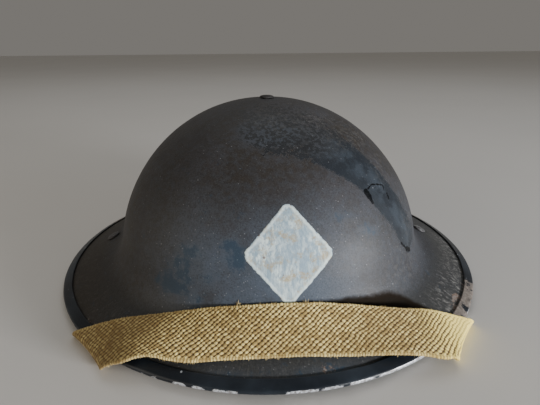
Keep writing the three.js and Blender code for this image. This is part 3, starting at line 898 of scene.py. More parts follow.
@dataclass(frozen=True)
class Webbing:
    """Coarse khaki cotton webbing: slanted beads of yarn, a paler selvage, painted shade in the slots and
    painted highlight on the bead tops.
    """

    effects: Effects
    yarn: Colour = (0.42, 0.29, 0.1)
    pale: Colour = (1.0, 0.82, 0.345)
    # painted shade in the slots between the beads
    slot: Colour = (0.055, 0.03, 0.008)
    # painted highlight on the strap's right end
    painted_highlight: Colour = (1.0, 0.8, 0.21)
    # brown for real soil and for the painted shade over the strap's left end
    soil_and_shade: Colour = (0.17, 0.105, 0.036)

    def material(self) -> Finish:
        """Builds the material.

        Returns:
            The finished material, which follows each place in the weave, in metres.
        """
        m = Material("webbing")
        place = m.object_place()
        flat = m.node("ShaderNodeAttribute", attribute_name="weave").outputs["Vector"]
        along, across, _ = m.axes(flat)
        height, tone = m.use(self.effects.weave, place=flat)
        knots = m.times(m.plus(m.math("COSINE", m.times(
            along, FULL_TURN / (0.5 * WEAVE.repeat * MM))), 1.0), 0.5)
        lift = m.blend(m.span(m.math("ABSOLUTE", across), 0.0116, 0.0121), height,
                       m.plus(0.5, m.times(knots, 0.4)))
        ply = m.noise(m.stretch(flat, (1.0, 3.4, 1.0), (0.0, 0.0, math.radians(-62))), 0.42, 3, 0.6)
        fibre = m.noise(place, 0.16, 3, 0.6)
        bands = m.noise(m.stretch(flat, (1.0, 0.12, 1.0)), 9.0, 4, 0.6)
        # soil mask: painted shade over the strap's left end, and real soil about x = 60
        soiled_and_shaded = m.times(m.attribute("soil_and_shade"), m.span(m.noise(flat, 9, 5, 0.6), 0.2, 0.7, 0.6, 1.0))
        # painted highlight: the right end paler and yellower, where the window light falls
        right = m.axes(place)[0]
        painted_lit_end = m.times(m.span(right, 0.068, 0.1), m.span(lift, 0.3, 0.85))
        # painted shade: darker towards the slot colour where the weave lies low
        colour = m.mix(m.span(lift, 0.16, 0.62), self.slot, self.yarn)
        for factor, layer in (
                # painted highlight: paler on the bead tops, by a tone that differs from bead to bead
                (m.times(m.span(lift, 0.42, 0.9), m.span(tone, 0.0, 0.9, 0.1, 1.0)), self.pale),
                (m.span(ply, 0.3, 0.62, 0.3, 0.0), self.soil_and_shade),
                (m.span(bands, 0.46, 0.7, 0.0, 0.34), self.soil_and_shade),
                (m.span(m.noise(flat, 30, 5, 0.62), 0.46, 0.72, 0.0, 0.32), self.soil_and_shade),
                (m.times(soiled_and_shaded, 0.72), self.soil_and_shade), (painted_lit_end, self.painted_highlight),
                (m.span(right, 0.088, 0.106, 0.0, 0.72), self.painted_highlight),
                (m.span(fibre, 0.6, 0.8, 0.0, 0.35), self.pale)):
            colour = m.mix(factor, colour, layer)
        relief = m.plus(m.plus(m.times(lift, 0.45), m.times(ply, 0.3)), m.times(fibre, 0.25))
        return m.finish(base_color=colour, roughness=0.92, specular_ior_level=0.15,
                        sheen_weight=0.12, sheen_roughness=0.6, normal=m.bump(relief, 0.34))


@dataclass(frozen=True)
class Yarn:
    """The pale broken cotton ends at the webbing's edges."""

    pale: Colour = (0.88, 0.72, 0.38)
    dull: Colour = (0.36, 0.26, 0.11)

    def material(self) -> Finish:
        """Builds the material, which changes from thread to thread."""
        m = Material("yarn_ends")
        tone = m.noise(m.object_place(), 2.5, 2, 0.5)
        return m.finish(base_color=m.mix(m.span(tone, 0.38, 0.6), self.dull, self.pale),
                        roughness=0.9, specular_ior_level=0.15)


# ---- the steel bowl


@dataclass
class Shell:
    """The pressed bowl and its brim: one sheet of steel."""

    rim_half_width: float = 146.0
    rim_half_length: float = 151.3
    nose: float = 1.6
    slope: float = math.radians(25)
    fillet: float = 11.0
    wall: float = 1.0
    crown_half_width: float = 102.7
    crown_half_length: float = 112.7
    fullness: float = 2.24
    shift: float = -2.5
    base: float = 16.8
    rise: float = 98.3
    dome_end: float = math.radians(82)
    hole: float = 2.7
    rivet_hole: float = 2.2
    columns: int = 180
    dome_rows: int = 34
    fillet_rows: int = 7
    brim_rows: int = 9
    unevenness: float = 0.16
    swells: Point = (34.0, 13.0)
    even_below: float = 3.0
    even_above: float = 112.0

    def crown_radius(self, turn: float) -> float:
        """The crown's plan radius at a turn from the front."""
        across = abs(math.sin(turn) / self.crown_half_width) ** self.fullness
        along = abs(math.cos(turn) / self.crown_half_length) ** self.fullness
        return (across + along) ** (-1 / self.fullness)

    def edge_radius(self, turn: float) -> float:
        """The distance from the crown's axis to the middle of the folded edge."""
        sine, cosine = math.sin(turn), math.cos(turn)
        a, b = self.rim_half_width - self.nose, self.rim_half_length - self.nose
        square = (sine / a) ** 2 + (cosine / b) ** 2
        half = -cosine * self.shift / b ** 2
        rest = (self.shift / b) ** 2 - 1
        return (-half + math.sqrt(half ** 2 - square * rest)) / square

    def around(self, turn: float, radius: float, height: float) -> Vector:
        """A point about the crown's axis."""
        return Vector((math.sin(turn) * radius, self.shift - math.cos(turn) * radius, height))

    def section(self, turn: float) -> list[Point]:
        """The outer surface at one turn.

        Args:
            turn: the angle from the front.

        Returns:
            Radius and height of each ring, from the screw's hole out to the edge.
        """
        crown, edge = self.crown_radius(turn), self.edge_radius(turn)
        fall = math.tan(self.slope)
        lift = self.wall / 2 / math.cos(self.slope)
        start = math.asin(self.hole / crown)
        points = []
        for row in range(self.dome_rows + 1):
            angle = start + (self.dome_end - start) * row / self.dome_rows
            points.append((crown * math.sin(angle), self.base + self.rise * math.cos(angle)))
        top = points[-1]
        dr, dz = crown * math.cos(self.dome_end), -self.rise * math.sin(self.dome_end)
        reach = ((edge - top[0]) * fall + lift - top[1]) / (dz + dr * fall)
        corner = (top[0] + dr * reach, top[1] + dz * reach)
        foot = (corner[0] + self.fillet * math.cos(self.slope),
                corner[1] - self.fillet * math.sin(self.slope))
        for row in range(1, self.fillet_rows + 1):
            t = row / self.fillet_rows
            points.append(tuple((1 - t) ** 2 * p + 2 * t * (1 - t) * q + t ** 2 * r
                                for p, q, r in zip(top, corner, foot)))
        end = (edge + self.wall / 2 * math.sin(self.slope), self.wall / 2 * math.cos(self.slope))
        for row in range(1, self.brim_rows + 1):
            t = row / self.brim_rows
            points.append(tuple((1 - t) * p + t * q for p, q in zip(foot, end)))
        return points

    def build(self) -> Piece:
        """Presses the bowl.

        Returns:
            The shell, upright, with its wall and its slight unevenness.
        """
        turns = [FULL_TURN * (i + 0.5) / self.columns - math.pi for i in range(self.columns)]
        sections = {turn: self.section(turn) for turn in turns}
        rows = len(sections[turns[0]])
        piece = Bench.throw("helmet_shell", turns, rows,
                            lambda turn, row: self.around(turn, *sections[turn][row]))
        with Bench.edit(piece):
            bpy.ops.mesh.normals_make_consistent()
        self.face_out(piece)
        for vertex in piece.data.vertices:
            spot = vertex.co / MM
            calm = (min(1.0, max(0.0, (spot.z - self.even_below) / 12))
                    * min(1.0, max(0.0, (self.even_above - spot.z) / 8)))
            broad, short = self.swells
            swell = noise.noise(spot / broad) + 0.45 * noise.noise(spot / short + Vector((7, 3, 1)))
            vertex.co += vertex.normal * swell * self.unevenness * calm * MM
        Bench.modify(piece, "SOLIDIFY", thickness=self.wall * MM, offset=-1.0, use_even_offset=True)
        Bench.modify(piece, "SUBSURF", levels=1, render_levels=1)
        for side in Side:
            Bench.clear()
            bpy.ops.mesh.primitive_cylinder_add(vertices=40, radius=self.rivet_hole * MM, depth=8 * MM)
            cutter = Bench.named("rivet_hole")
            cutter.matrix_world = StrapRivet(self, side).place()
            Bench.cut(piece, cutter)
        Bench.smooth(piece)
        return piece

    @staticmethod
    def face_out(piece: Piece) -> None:
        """Flips an open skin whose faces look at the bowl's inside."""
        face = max(piece.data.polygons, key=lambda one: one.center.z)
        if face.normal.z < 0:
            with Bench.edit(piece):
                bpy.ops.mesh.flip_normals()


@dataclass
class ShellMarks:
    """Where the paint on the shell differs, in millimetres on a plane that faces the front.

    The plane's first axis is x. Its second leans back, so that it looks squarely at the upper
    front of the bowl. Fade, upper and top bound the run's stippled end. Far stands for a place
    that a mark doesn't reach.
    """

    lean: Point = (0.3584, 0.9336)
    run: Sequence[Point] = (
        (-16, 92), (-15, 84), (-12.5, 77), (-6, 68), (2, 65), (10, 64.5), (20.2, 60.8),
        (29, 56.5), (35.4, 52.8), (41, 50), (45.7, 47.1), (50, 43.6), (53.7, 40.3), (59.4, 32.4),
        (67.1, 24.2), (71.5, 18.2), (74.2, 12.6), (78.2, 9.4), (80.4, 6.9), (83, 6), (85, 8),
        (86.6, 10.5), (89.2, 13), (89.6, 20), (85.1, 27), (79.4, 35.3), (73.5, 44), (66, 54),
        (58, 63), (46, 74), (33, 84), (18, 92), (2, 96),
    )
    patch: Sequence[Point] = (
        (5.6, 36.6), (9.3, 36.9), (18.6, 26.0), (30.0, 13.2), (30.4, 9.6), (19.0, -3.8),
        (9.2, -14.6), (5.4, -14.8), (-4.4, -3.4), (-15.2, 9.0), (-15.3, 12.8), (-4.0, 25.4),
    )
    cracks: Sequence[tuple[float, Sequence[Point]]] = (
        (0.5, ((54.4, 44.6), (57.4, 47.0), (62.0, 47.2))), (0.3, ((62.0, 47.2), (65.4, 46.6), (66.0, 43.8))),
        (3.0, ((52.8, 43.0), (54.4, 40.4))), (1.5, ((54.4, 40.4), (56.0, 36.8))),
        (-0.22, ((-7.0, 65.8), (-4.4, 63.6), (-2.5, 66.2), (0.6, 68.8))),
        (0.5, ((67.8, 42.0), (68.6, 38.6))), (2.4, ((81.2, 8.4), (83.8, 7.4))),
        (0.9, ((75.6, 12.4), (79.2, 9.6), (82.0, 7.4))),
    )
    blots: Sequence[Spot] = (
        (-50, 0, 10, 15, 0.8), (-57, -4, 8, 7, 1.1), (-44, 12, 8, 7, 0.8),
        (-19.5, 10, 6.5, 9.0, 1.0), (-23, 16, 6, 4, 0.9), (-42, -14, 6, 7, 0.85),
        (-34, -2, 7, 5, 0.5), (38, 30, 12, 3, 0.5), (52, 22, 10, 4, 0.55), (0, 76, 22, 9, 0.9),
        (-12, 80, 10, 9, 0.7), (-25, -46, 22, 5, 0.62), (30, -44, 26, 5, 0.5),
        (-14, -20, 9, 6, 0.45), (66, -20, 12, 5, 0.5),
    )
    # painted shadow of the strap's upper edge: at each x, how far past the edge it reaches, in millimetres
    strap_shadow: Sequence[Point] = ((-70, 1.5), (-30, 2.4), (14, 4.2), (30, 5.6), (44, 7.6), (56, 10.0),
                              (66, 14.4), (74, 16.0), (82, 13.5), (88, 8.0), (94, 4.0), (100, 1.0))
    dust: Sequence[Spot] = (
        (50, 78, 20, 12, 1.0), (30, 88, 26, 9, 0.8), (2, 86, 18, 10, 0.7), (68, 60, 12, 14, 0.7),
        (84, 30, 8, 22, 0.6), (76, -2, 16, 16, 0.7), (40, 14, 30, 26, 0.35),
    )
    bare: Sequence[Window] = ((47, 50, 56, 59, 0.4), (59, 62, 70, 74, 0.3),
                              (-58, -54, -48, -44, 0.3), (7, 8.5, 11.5, 13, 0.34))
    scuffed: Sequence[Window] = ((38, 52, 84, 104, 1.0),)
    fade: Point = (46, 18)
    upper: Point = (60, 72)
    top: Point = (66, 88)
    back: float = 55.0
    far: float = 60.0

    @staticmethod
    def spots(flat: np.ndarray, table: Iterable[Spot], reach: float) -> np.ndarray:
        """The strength of the strongest oval spot at each point.

        Args:
            flat: the points on the marks' plane.
            table: each spot's place, half width, half height and strength.
            reach: where it has faded out, in its own half widths.

        Returns:
            One strength for each point, 0 outside every spot.
        """
        strength = np.zeros(len(flat))
        for u, v, wide, tall, strong in table:
            away = np.hypot((flat[:, 0] - u) / wide, (flat[:, 1] - v) / tall)
            strength = np.maximum(strength, strong * smoothstep(reach, 0.2, away))
        return strength

    def dress(self, piece: Piece, shell: Shell, hem: np.ndarray) -> None:
        """Gives the resting shell its masks.

        Args:
            piece: the shell at rest.
            shell: the sizes that it was built from.
            hem: points along the strap's upper edge, about which the strap's shadow is painted on the steel.
                They are given on the upright helmet, about 3 mm lower than on the resting one.
        """
        points, normals = Bench.points(piece), Bench.normals(piece)
        places, reach = zip(*self.strap_shadow)
        strap_shadow = np.full(len(points), self.far)
        for spot in hem:
            away = np.linalg.norm(points - spot, axis=1)
            strap_shadow = np.minimum(strap_shadow, away - np.interp(spot[0], places, reach))
        flat = np.column_stack([points[:, 0], points[:, 1:] @ np.array(self.lean)])
        radial = points - np.array([0.0, shell.shift, 0.0])
        outer = (radial * normals).sum(axis=1) > 0
        facing = np.array([0.0, -self.lean[1], self.lean[0]])
        front = outer & (points[:, 1] < self.back) & (normals @ facing > -0.25)
        Bench.mask(piece, "strap_shadow", np.where(outer, strap_shadow, self.far))
        Bench.mask(piece, "run", np.where(front, outline_distance(flat, self.run), self.far))
        Bench.mask(piece, "patch", np.where(front & (normals[:, 1] < -0.2),
                                            outline_distance(flat, self.patch), self.far))
        fade = smoothstep(*self.fade, flat[:, 0] - 0.35 * (flat[:, 1] - self.upper[0]))
        upper = smoothstep(*self.upper, flat[:, 1] + 0.15 * flat[:, 0])
        Bench.mask(piece, "dusty", np.where(front, self.spots(flat, self.dust, 1.4), 0))
        Bench.mask(piece, "stipple", np.maximum(fade * upper, smoothstep(*self.top, flat[:, 1])))
        Bench.mask(piece, "blot", np.where(front, self.spots(flat, self.blots, 1.35), 0))
        self.dress_brim(piece, shell, points, outer)

    def dress_brim(self, piece: Piece, shell: Shell, points: np.ndarray, outer: np.ndarray) -> None:
        """Gives the brim its scuffs and rubbed spots.

        Args:
            piece: the shell at rest.
            shell: the sizes that it was built from.
            points: the shell's vertices in millimetres.
            outer: whether each vertex is on the outside.
        """
        turn = np.degrees(np.arctan2(points[:, 0], shell.shift - points[:, 1]))
        oval = np.hypot(points[:, 0] / shell.rim_half_width, points[:, 1] / shell.rim_half_length)
        brim = smoothstep(0.8, 0.88, oval) * outer
        Bench.mask(piece, "brim", smoothstep(0.76, 0.86, oval) * outer)
        scuffed = strongest(turn, self.scuffed) * smoothstep(0.82, 0.93, oval)
        Bench.mask(piece, "scuff", brim * np.clip(0.12 + 0.95 * scuffed, 0, 1))
        bare = smoothstep(0.905, 0.94, oval) * brim * strongest(turn, self.bare)
        Bench.mask(piece, "bare", np.where(bare > 0, bare + 0.12, 0))


# ---- the rim band


@dataclass
class RimBand:
    """The strip folded round the brim's edge, its two ends meeting at the back."""

    shell: Shell
    sheet: float = 0.8
    width: float = 7.0
    joint: float = 0.5
    columns: int = 360
    arc_steps: int = 9
    lip_round: float = 0.22
    waver: float = 0.16
    # chips: the strong ones from about 8 to 36 degrees also stand in for a painted highlight along the
    # band's edge
    chips_and_glints: Sequence[Triple] = (
        (-28, -26, 0.52), (-25.4, -23.2, 0.54), (-22.6, -21, 0.48), (-19.8, -16.8, 0.66),
        (-15.8, -13.2, 0.6), (-12, -8.2, 0.66), (-7.9, -6.8, 0.52), (0.7, 7.6, 0.68),
        (7.6, 12, 0.64), (12.6, 15.2, 0.66), (15.2, 18.4, 0.7), (18.4, 21.8, 0.62),
        (21.8, 29, 0.92), (29, 36, 0.84), (36, 54, 0.56), (70, 96, 0.4), (-75, -60, 0.4),
        (120, 150, 0.42), (-160, -130, 0.46), (165, 178, 0.5),
    )
    rubbed: Sequence[Triple] = ((44, 66, 0.55), (108, 113, 0.46), (-118, -110, 0.5))

    def section(self) -> list[Point]:
        """The folded strip's closed outline: distance outwards and height, about the edge."""
        outer, inner = self.shell.nose, self.shell.nose - self.sheet
        lip = self.shell.nose - self.width
        ease = self.lip_round

        def arc(radius: float, start: float, end: float) -> list[Point]:
            """Points on an arc about the edge, both ends among them."""
            turns = [math.radians(start + (end - start) * i / self.arc_steps)
                     for i in range(self.arc_steps + 1)]
            return [(radius * math.cos(t), radius * math.sin(t)) for t in turns]

        def leaf(sign: int) -> list[Point]:
            """One leaf's lip, from its outer face round to its inner face."""
            return [(lip * 0.5, sign * outer), (lip + 2.5 * ease, sign * outer),
                    (lip + ease, sign * (outer - 0.02)), (lip + 0.2 * ease, sign * (outer - ease)),
                    (lip, sign * (outer + inner) / 2), (lip + 0.2 * ease, sign * (inner + ease)),
                    (lip + ease, sign * (inner + 0.01)), (lip * 0.5, sign * inner)]

        return [*leaf(1), *arc(inner, 90, -90), *reversed(leaf(-1)), *arc(outer, -90, 90)]

    def build(self) -> Piece:
        """Folds the strip round the edge.

        Returns:
            The band, upright.
        """
        section = self.section()
        back = self.joint / 2 / self.shell.edge_radius(math.pi)
        step = (FULL_TURN - 2 * back) / (self.columns - 1)
        turns = [-math.pi + back + step * i for i in range(self.columns)]
        edges = {turn: self.shell.edge_radius(turn) for turn in turns}
        slope = self.shell.slope

        def place(turn: float, row: int) -> Vector:
            """The place of one point of the section at a turn."""
            out, up = section[row]
            spot = Vector((math.sin(turn) * 9, math.cos(turn) * 9, 0.0))
            lip = min(1.0, max(0.0, -out / self.width))
            out += lip * self.waver * 1.6 * noise.noise(spot * 1.3 + Vector((0, 0, 4 * (up > 0))))
            up += (1 - lip) * self.waver * 0.5 * noise.noise(spot * 0.9 + Vector((5, 1, 2)))
            out += (1 - lip) * self.waver * 0.5 * (noise.noise(spot * 1.1) - 0.45)
            return self.shell.around(
                turn, edges[turn] + out * math.cos(slope) + up * math.sin(slope),
                up * math.cos(slope) - out * math.sin(slope),
            )

        piece = Bench.throw("rim_band_strip", turns, len(section), place)
        near = 0.3 * self.joint * MM
        with Bench.edit(piece):
            Bench.pick(piece, "EDGE", lambda edge: edge.is_boundary)
            bpy.ops.mesh.bridge_edge_loops()
            Bench.pick(piece, "FACE", lambda face: face.calc_center_median().y > 0
                       and abs(face.calc_center_median().x) < near)
            bpy.ops.mesh.delete(type="FACE")
            Bench.cap(piece)
        Bench.outwards(piece)
        Bench.smooth(piece, math.radians(50))
        return piece

    def dress(self, piece: Piece) -> None:
        """Gives the resting band its masks of wear, which at the front right also carry a painted highlight.

        Args:
            piece: the band at rest.
        """
        points, normals = Bench.points(piece), Bench.normals(piece)
        turn = np.degrees(np.arctan2(points[:, 0], self.shell.shift - points[:, 1]))
        outward = (normals[:, :2] * points[:, :2]).sum(axis=1) / np.hypot(*points[:, :2].T)
        nose = smoothstep(0.1, 0.42, outward) * smoothstep(0.72, 0.3, normals[:, 2])
        wear = np.maximum(0.26, strongest(turn, self.windows(self.chips_and_glints, 0.4)))
        Bench.mask(piece, "wear", wear * (0.25 + 0.75 * nose))
        bare = strongest(turn, self.windows(self.rubbed, 1.5))
        Bench.mask(piece, "bare", bare * (normals[:, 2] > -0.4))

    @staticmethod
    def windows(table: Iterable[Triple], soft: float) -> Iterator[Window]:
        """Windows with edges this soft, in degrees, from starts, ends and strengths."""
        for start, end, strength in table:
            yield start - soft, start + soft, end - soft, end + soft, strength


# ---- screw, nut and rivets


@dataclass
class TurnedHead:
    """A low domed head with a rounded edge, standing on z = 0."""

    radius: float
    height: float
    skirt: float = 0.35
    rings: int = 7
    segments: int = 48

    def outline(self) -> list[Point]:
        """Radius and height of each ring, from the seat up to the top."""
        rise = self.height * (1 - self.skirt)
        base = self.height * self.skirt
        rows = [(self.radius * 0.97, 0.0), (self.radius, 0.12 * base)]
        for ring in range(self.rings):
            turn = math.pi / 2 * ring / self.rings
            rows.append((self.radius * math.cos(turn) ** 0.8, base + rise * math.sin(turn)))
        return rows

    def build(self, name: str, shank: Sequence[Point]) -> Piece:
        """Turns the head and its shank.

        Args:
            name: the new piece's name.
            shank: radius and height of each ring of the shank, from its end up to the seat.

        Returns:
            The closed piece, its seat at the origin.
        """
        rows = [*shank, *self.outline()]
        turns = [FULL_TURN * i / self.segments for i in range(self.segments)]
        piece = Bench.throw(name, turns, len(rows), lambda turn, row: Vector((
            math.sin(turn) * rows[row][0], math.cos(turn) * rows[row][0], rows[row][1])))
        with Bench.edit(piece):
            Bench.cap(piece)
            Bench.pick(piece, "FACE", lambda face: len(face.verts) > 4)
            bpy.ops.mesh.poke()
        Bench.outwards(piece)
        return piece


@dataclass
class CrownScrew:
    """The slotted screw on top of the crown, and the plain nut that holds it inside."""

    shell: Shell
    head: TurnedHead = field(default_factory=lambda: TurnedHead(radius=4.8, height=1.5))
    gap: float = 0.3
    shank: float = 2.4
    length: float = 7.0
    slot_width: float = 1.1
    slot_depth: float = 0.7
    slot_turn: float = math.radians(12)
    nut_flats: float = 8.5
    nut_height: float = 3.2
    nut_top: float = -1.55
    slot_bevel: float = 0.12
    nut_bevel: float = 0.35
    sharp: float = math.radians(40)

    def place(self) -> Matrix:
        """The crown's top, on the upright helmet."""
        top = self.shell.base + self.shell.rise
        return Matrix.Translation((0, self.shell.shift * MM, top * MM))

    def build_screw(self) -> Piece:
        """Turns the screw and saws its slot.

        Returns:
            The screw at rest.
        """
        end = -self.gap - self.length
        piece = self.head.build("crown_screw_head", [
            (self.shank - 0.4, end), (self.shank, end + 0.4), (self.shank, 0.0)])
        Bench.clear()
        bpy.ops.mesh.primitive_cube_add(size=1.0, location=(0, 0, self.head.height * MM))
        cutter = Bench.named("slot_cutter")
        bpy.ops.transform.resize(value=(30 * MM, self.slot_width * MM, 2 * self.slot_depth * MM))
        Bench.cut(piece, cutter)
        Bench.modify(piece, "BEVEL", width=self.slot_bevel * MM, segments=2,
                     limit_method="ANGLE", angle_limit=self.sharp)
        Bench.smooth(piece)
        turn = Matrix.Rotation(self.slot_turn, 4, "Z")
        Bench.settle(piece, self.place() @ Matrix.Translation((0, 0, self.gap * MM)) @ turn)
        return piece

    def build_nut(self) -> Piece:
        """Makes the hexagon nut.

        Returns:
            The nut at rest.
        """
        Bench.clear()
        middle = (self.nut_top - self.nut_height / 2) * MM
        bpy.ops.mesh.primitive_cylinder_add(
            vertices=6, radius=self.nut_flats / math.sqrt(3) * MM,
            depth=self.nut_height * MM, location=(0, 0, middle))
        piece = Bench.named("crown_nut_hexagon")
        bpy.ops.object.transform_apply()
        Bench.clear()
        bpy.ops.mesh.primitive_cylinder_add(vertices=36, radius=(self.shank + self.gap) * MM, depth=0.02)
        cutter = Bench.named("bore_cutter")
        Bench.cut(piece, cutter)
        Bench.modify(piece, "BEVEL", width=self.nut_bevel * MM, segments=3,
                     limit_method="ANGLE", angle_limit=self.sharp)
        Bench.smooth(piece)
        Bench.settle(piece, self.place())
        return piece


@dataclass
class StrapRivet:
    """A domed rivet on the brim that holds one strap lug."""

    shell: Shell
    side: Side
    x: float = 116.8
    y: float = -1.6
    gap: float = 0.3
    lug_room: float = 1.95
    tail_radius: float = 3.1
    tail_height: float = 1.0
    head: TurnedHead = field(default_factory=lambda: TurnedHead(radius=4.75, height=1.7))
    shank: float = 1.9
    rubbed: Point = (1.0, 2.4)

    def place(self) -> Matrix:
        """The middle of the brim's wall under the rivet, z along the brim's normal."""
        shell = self.shell
        turn = math.atan2(self.side.value * self.x, shell.shift - self.y)
        radius = math.hypot(self.x, self.y - shell.shift)
        height = (shell.edge_radius(turn) - radius) * math.tan(shell.slope)
        out = Vector((math.sin(turn), -math.cos(turn), 0))
        normal = out * math.sin(shell.slope) + Vector((0, 0, math.cos(shell.slope)))
        along = Vector((-out.y, out.x, 0))
        turned = Matrix((along.cross(normal), along, normal)).transposed().to_4x4()
        return Matrix.Translation(shell.around(turn, radius, height) * MM) @ turned

    def build(self) -> Piece:
        """Turns the head, shank and tail as one piece.

        Returns:
            The rivet at rest.
        """
        seat = self.shell.wall / 2 + self.gap
        under = -2 * seat - self.lug_room
        low, wide = under - self.tail_height, self.tail_radius
        piece = self.head.build(f"rivet_{self.side.word}", [
            (0.6 * wide, low), (0.9 * wide, low + 0.12), (wide, low + 0.5), (wide, under - 0.1),
            (0.95 * wide, under), (self.shank, under), (self.shank, 0.0)])
        Bench.smooth(piece)
        Bench.settle(piece, self.place() @ Matrix.Translation((0, 0, seat * MM)))
        return piece

    def crown(self, piece: Piece, strength: float) -> None:
        """Marks how much of the rivet's top is bare metal: rubbed wear, and where stronger, partly a painted
        highlight.
        """
        points = (np.column_stack([Bench.points(piece) * MM, np.ones(len(piece.data.vertices))])
                  @ np.array((STANCE.matrix() @ self.place()).inverted().transposed()))
        Bench.mask(piece, "crown", strength * smoothstep(*self.rubbed, points[:, 2] / MM))


# ---- the chin strap


@dataclass(frozen=True)
class Station:
    """One cut through the strap: its middle, heading, way of its width and outer face.

    The middle is drawn in from the selvages by the hollow, and the step says how far apart the
    stations about it lie.
    """

    middle: Vector
    along: Vector
    across: Vector
    face: Vector
    hollow: Vector = field(default_factory=Vector)
    step: float = 1.0

    @staticmethod
    def square(middle: Vector, heading: Vector, width: Vector, step: float = 1.0) -> "Station":
        """A station whose width is square to its heading."""
        along = heading.normalized()
        across = (width - along * width.dot(along)).normalized()
        return Station(middle, along, across, along.cross(across), step=step)

    def toward(self, other: "Station", part: float) -> "Station":
        """A station on the straight way to another one."""
        pairs = ((getattr(self, key), getattr(other, key))
                 for key in ("middle", "along", "across", "face", "hollow"))
        return Station(*(a.lerp(b, part) for a, b in pairs), step=self.step)

    def mirrored(self) -> "Station":
        """The same station on the other side, heading the other way."""
        def flip(v: Vector, sign: int = 1) -> Vector:
            """A vector mirrored across the plane x = 0."""
            return Vector((-v.x, v.y, v.z)) * sign

        return Station(flip(self.middle), flip(self.along, -1), flip(self.across),
                       flip(self.face), flip(self.hollow), self.step)


@dataclass(frozen=True)
class Fold:
    """A fold round the rim, given as on the left: a point on its axis, and two angles."""

    x: float
    y: float
    crease: float
    crossing: float


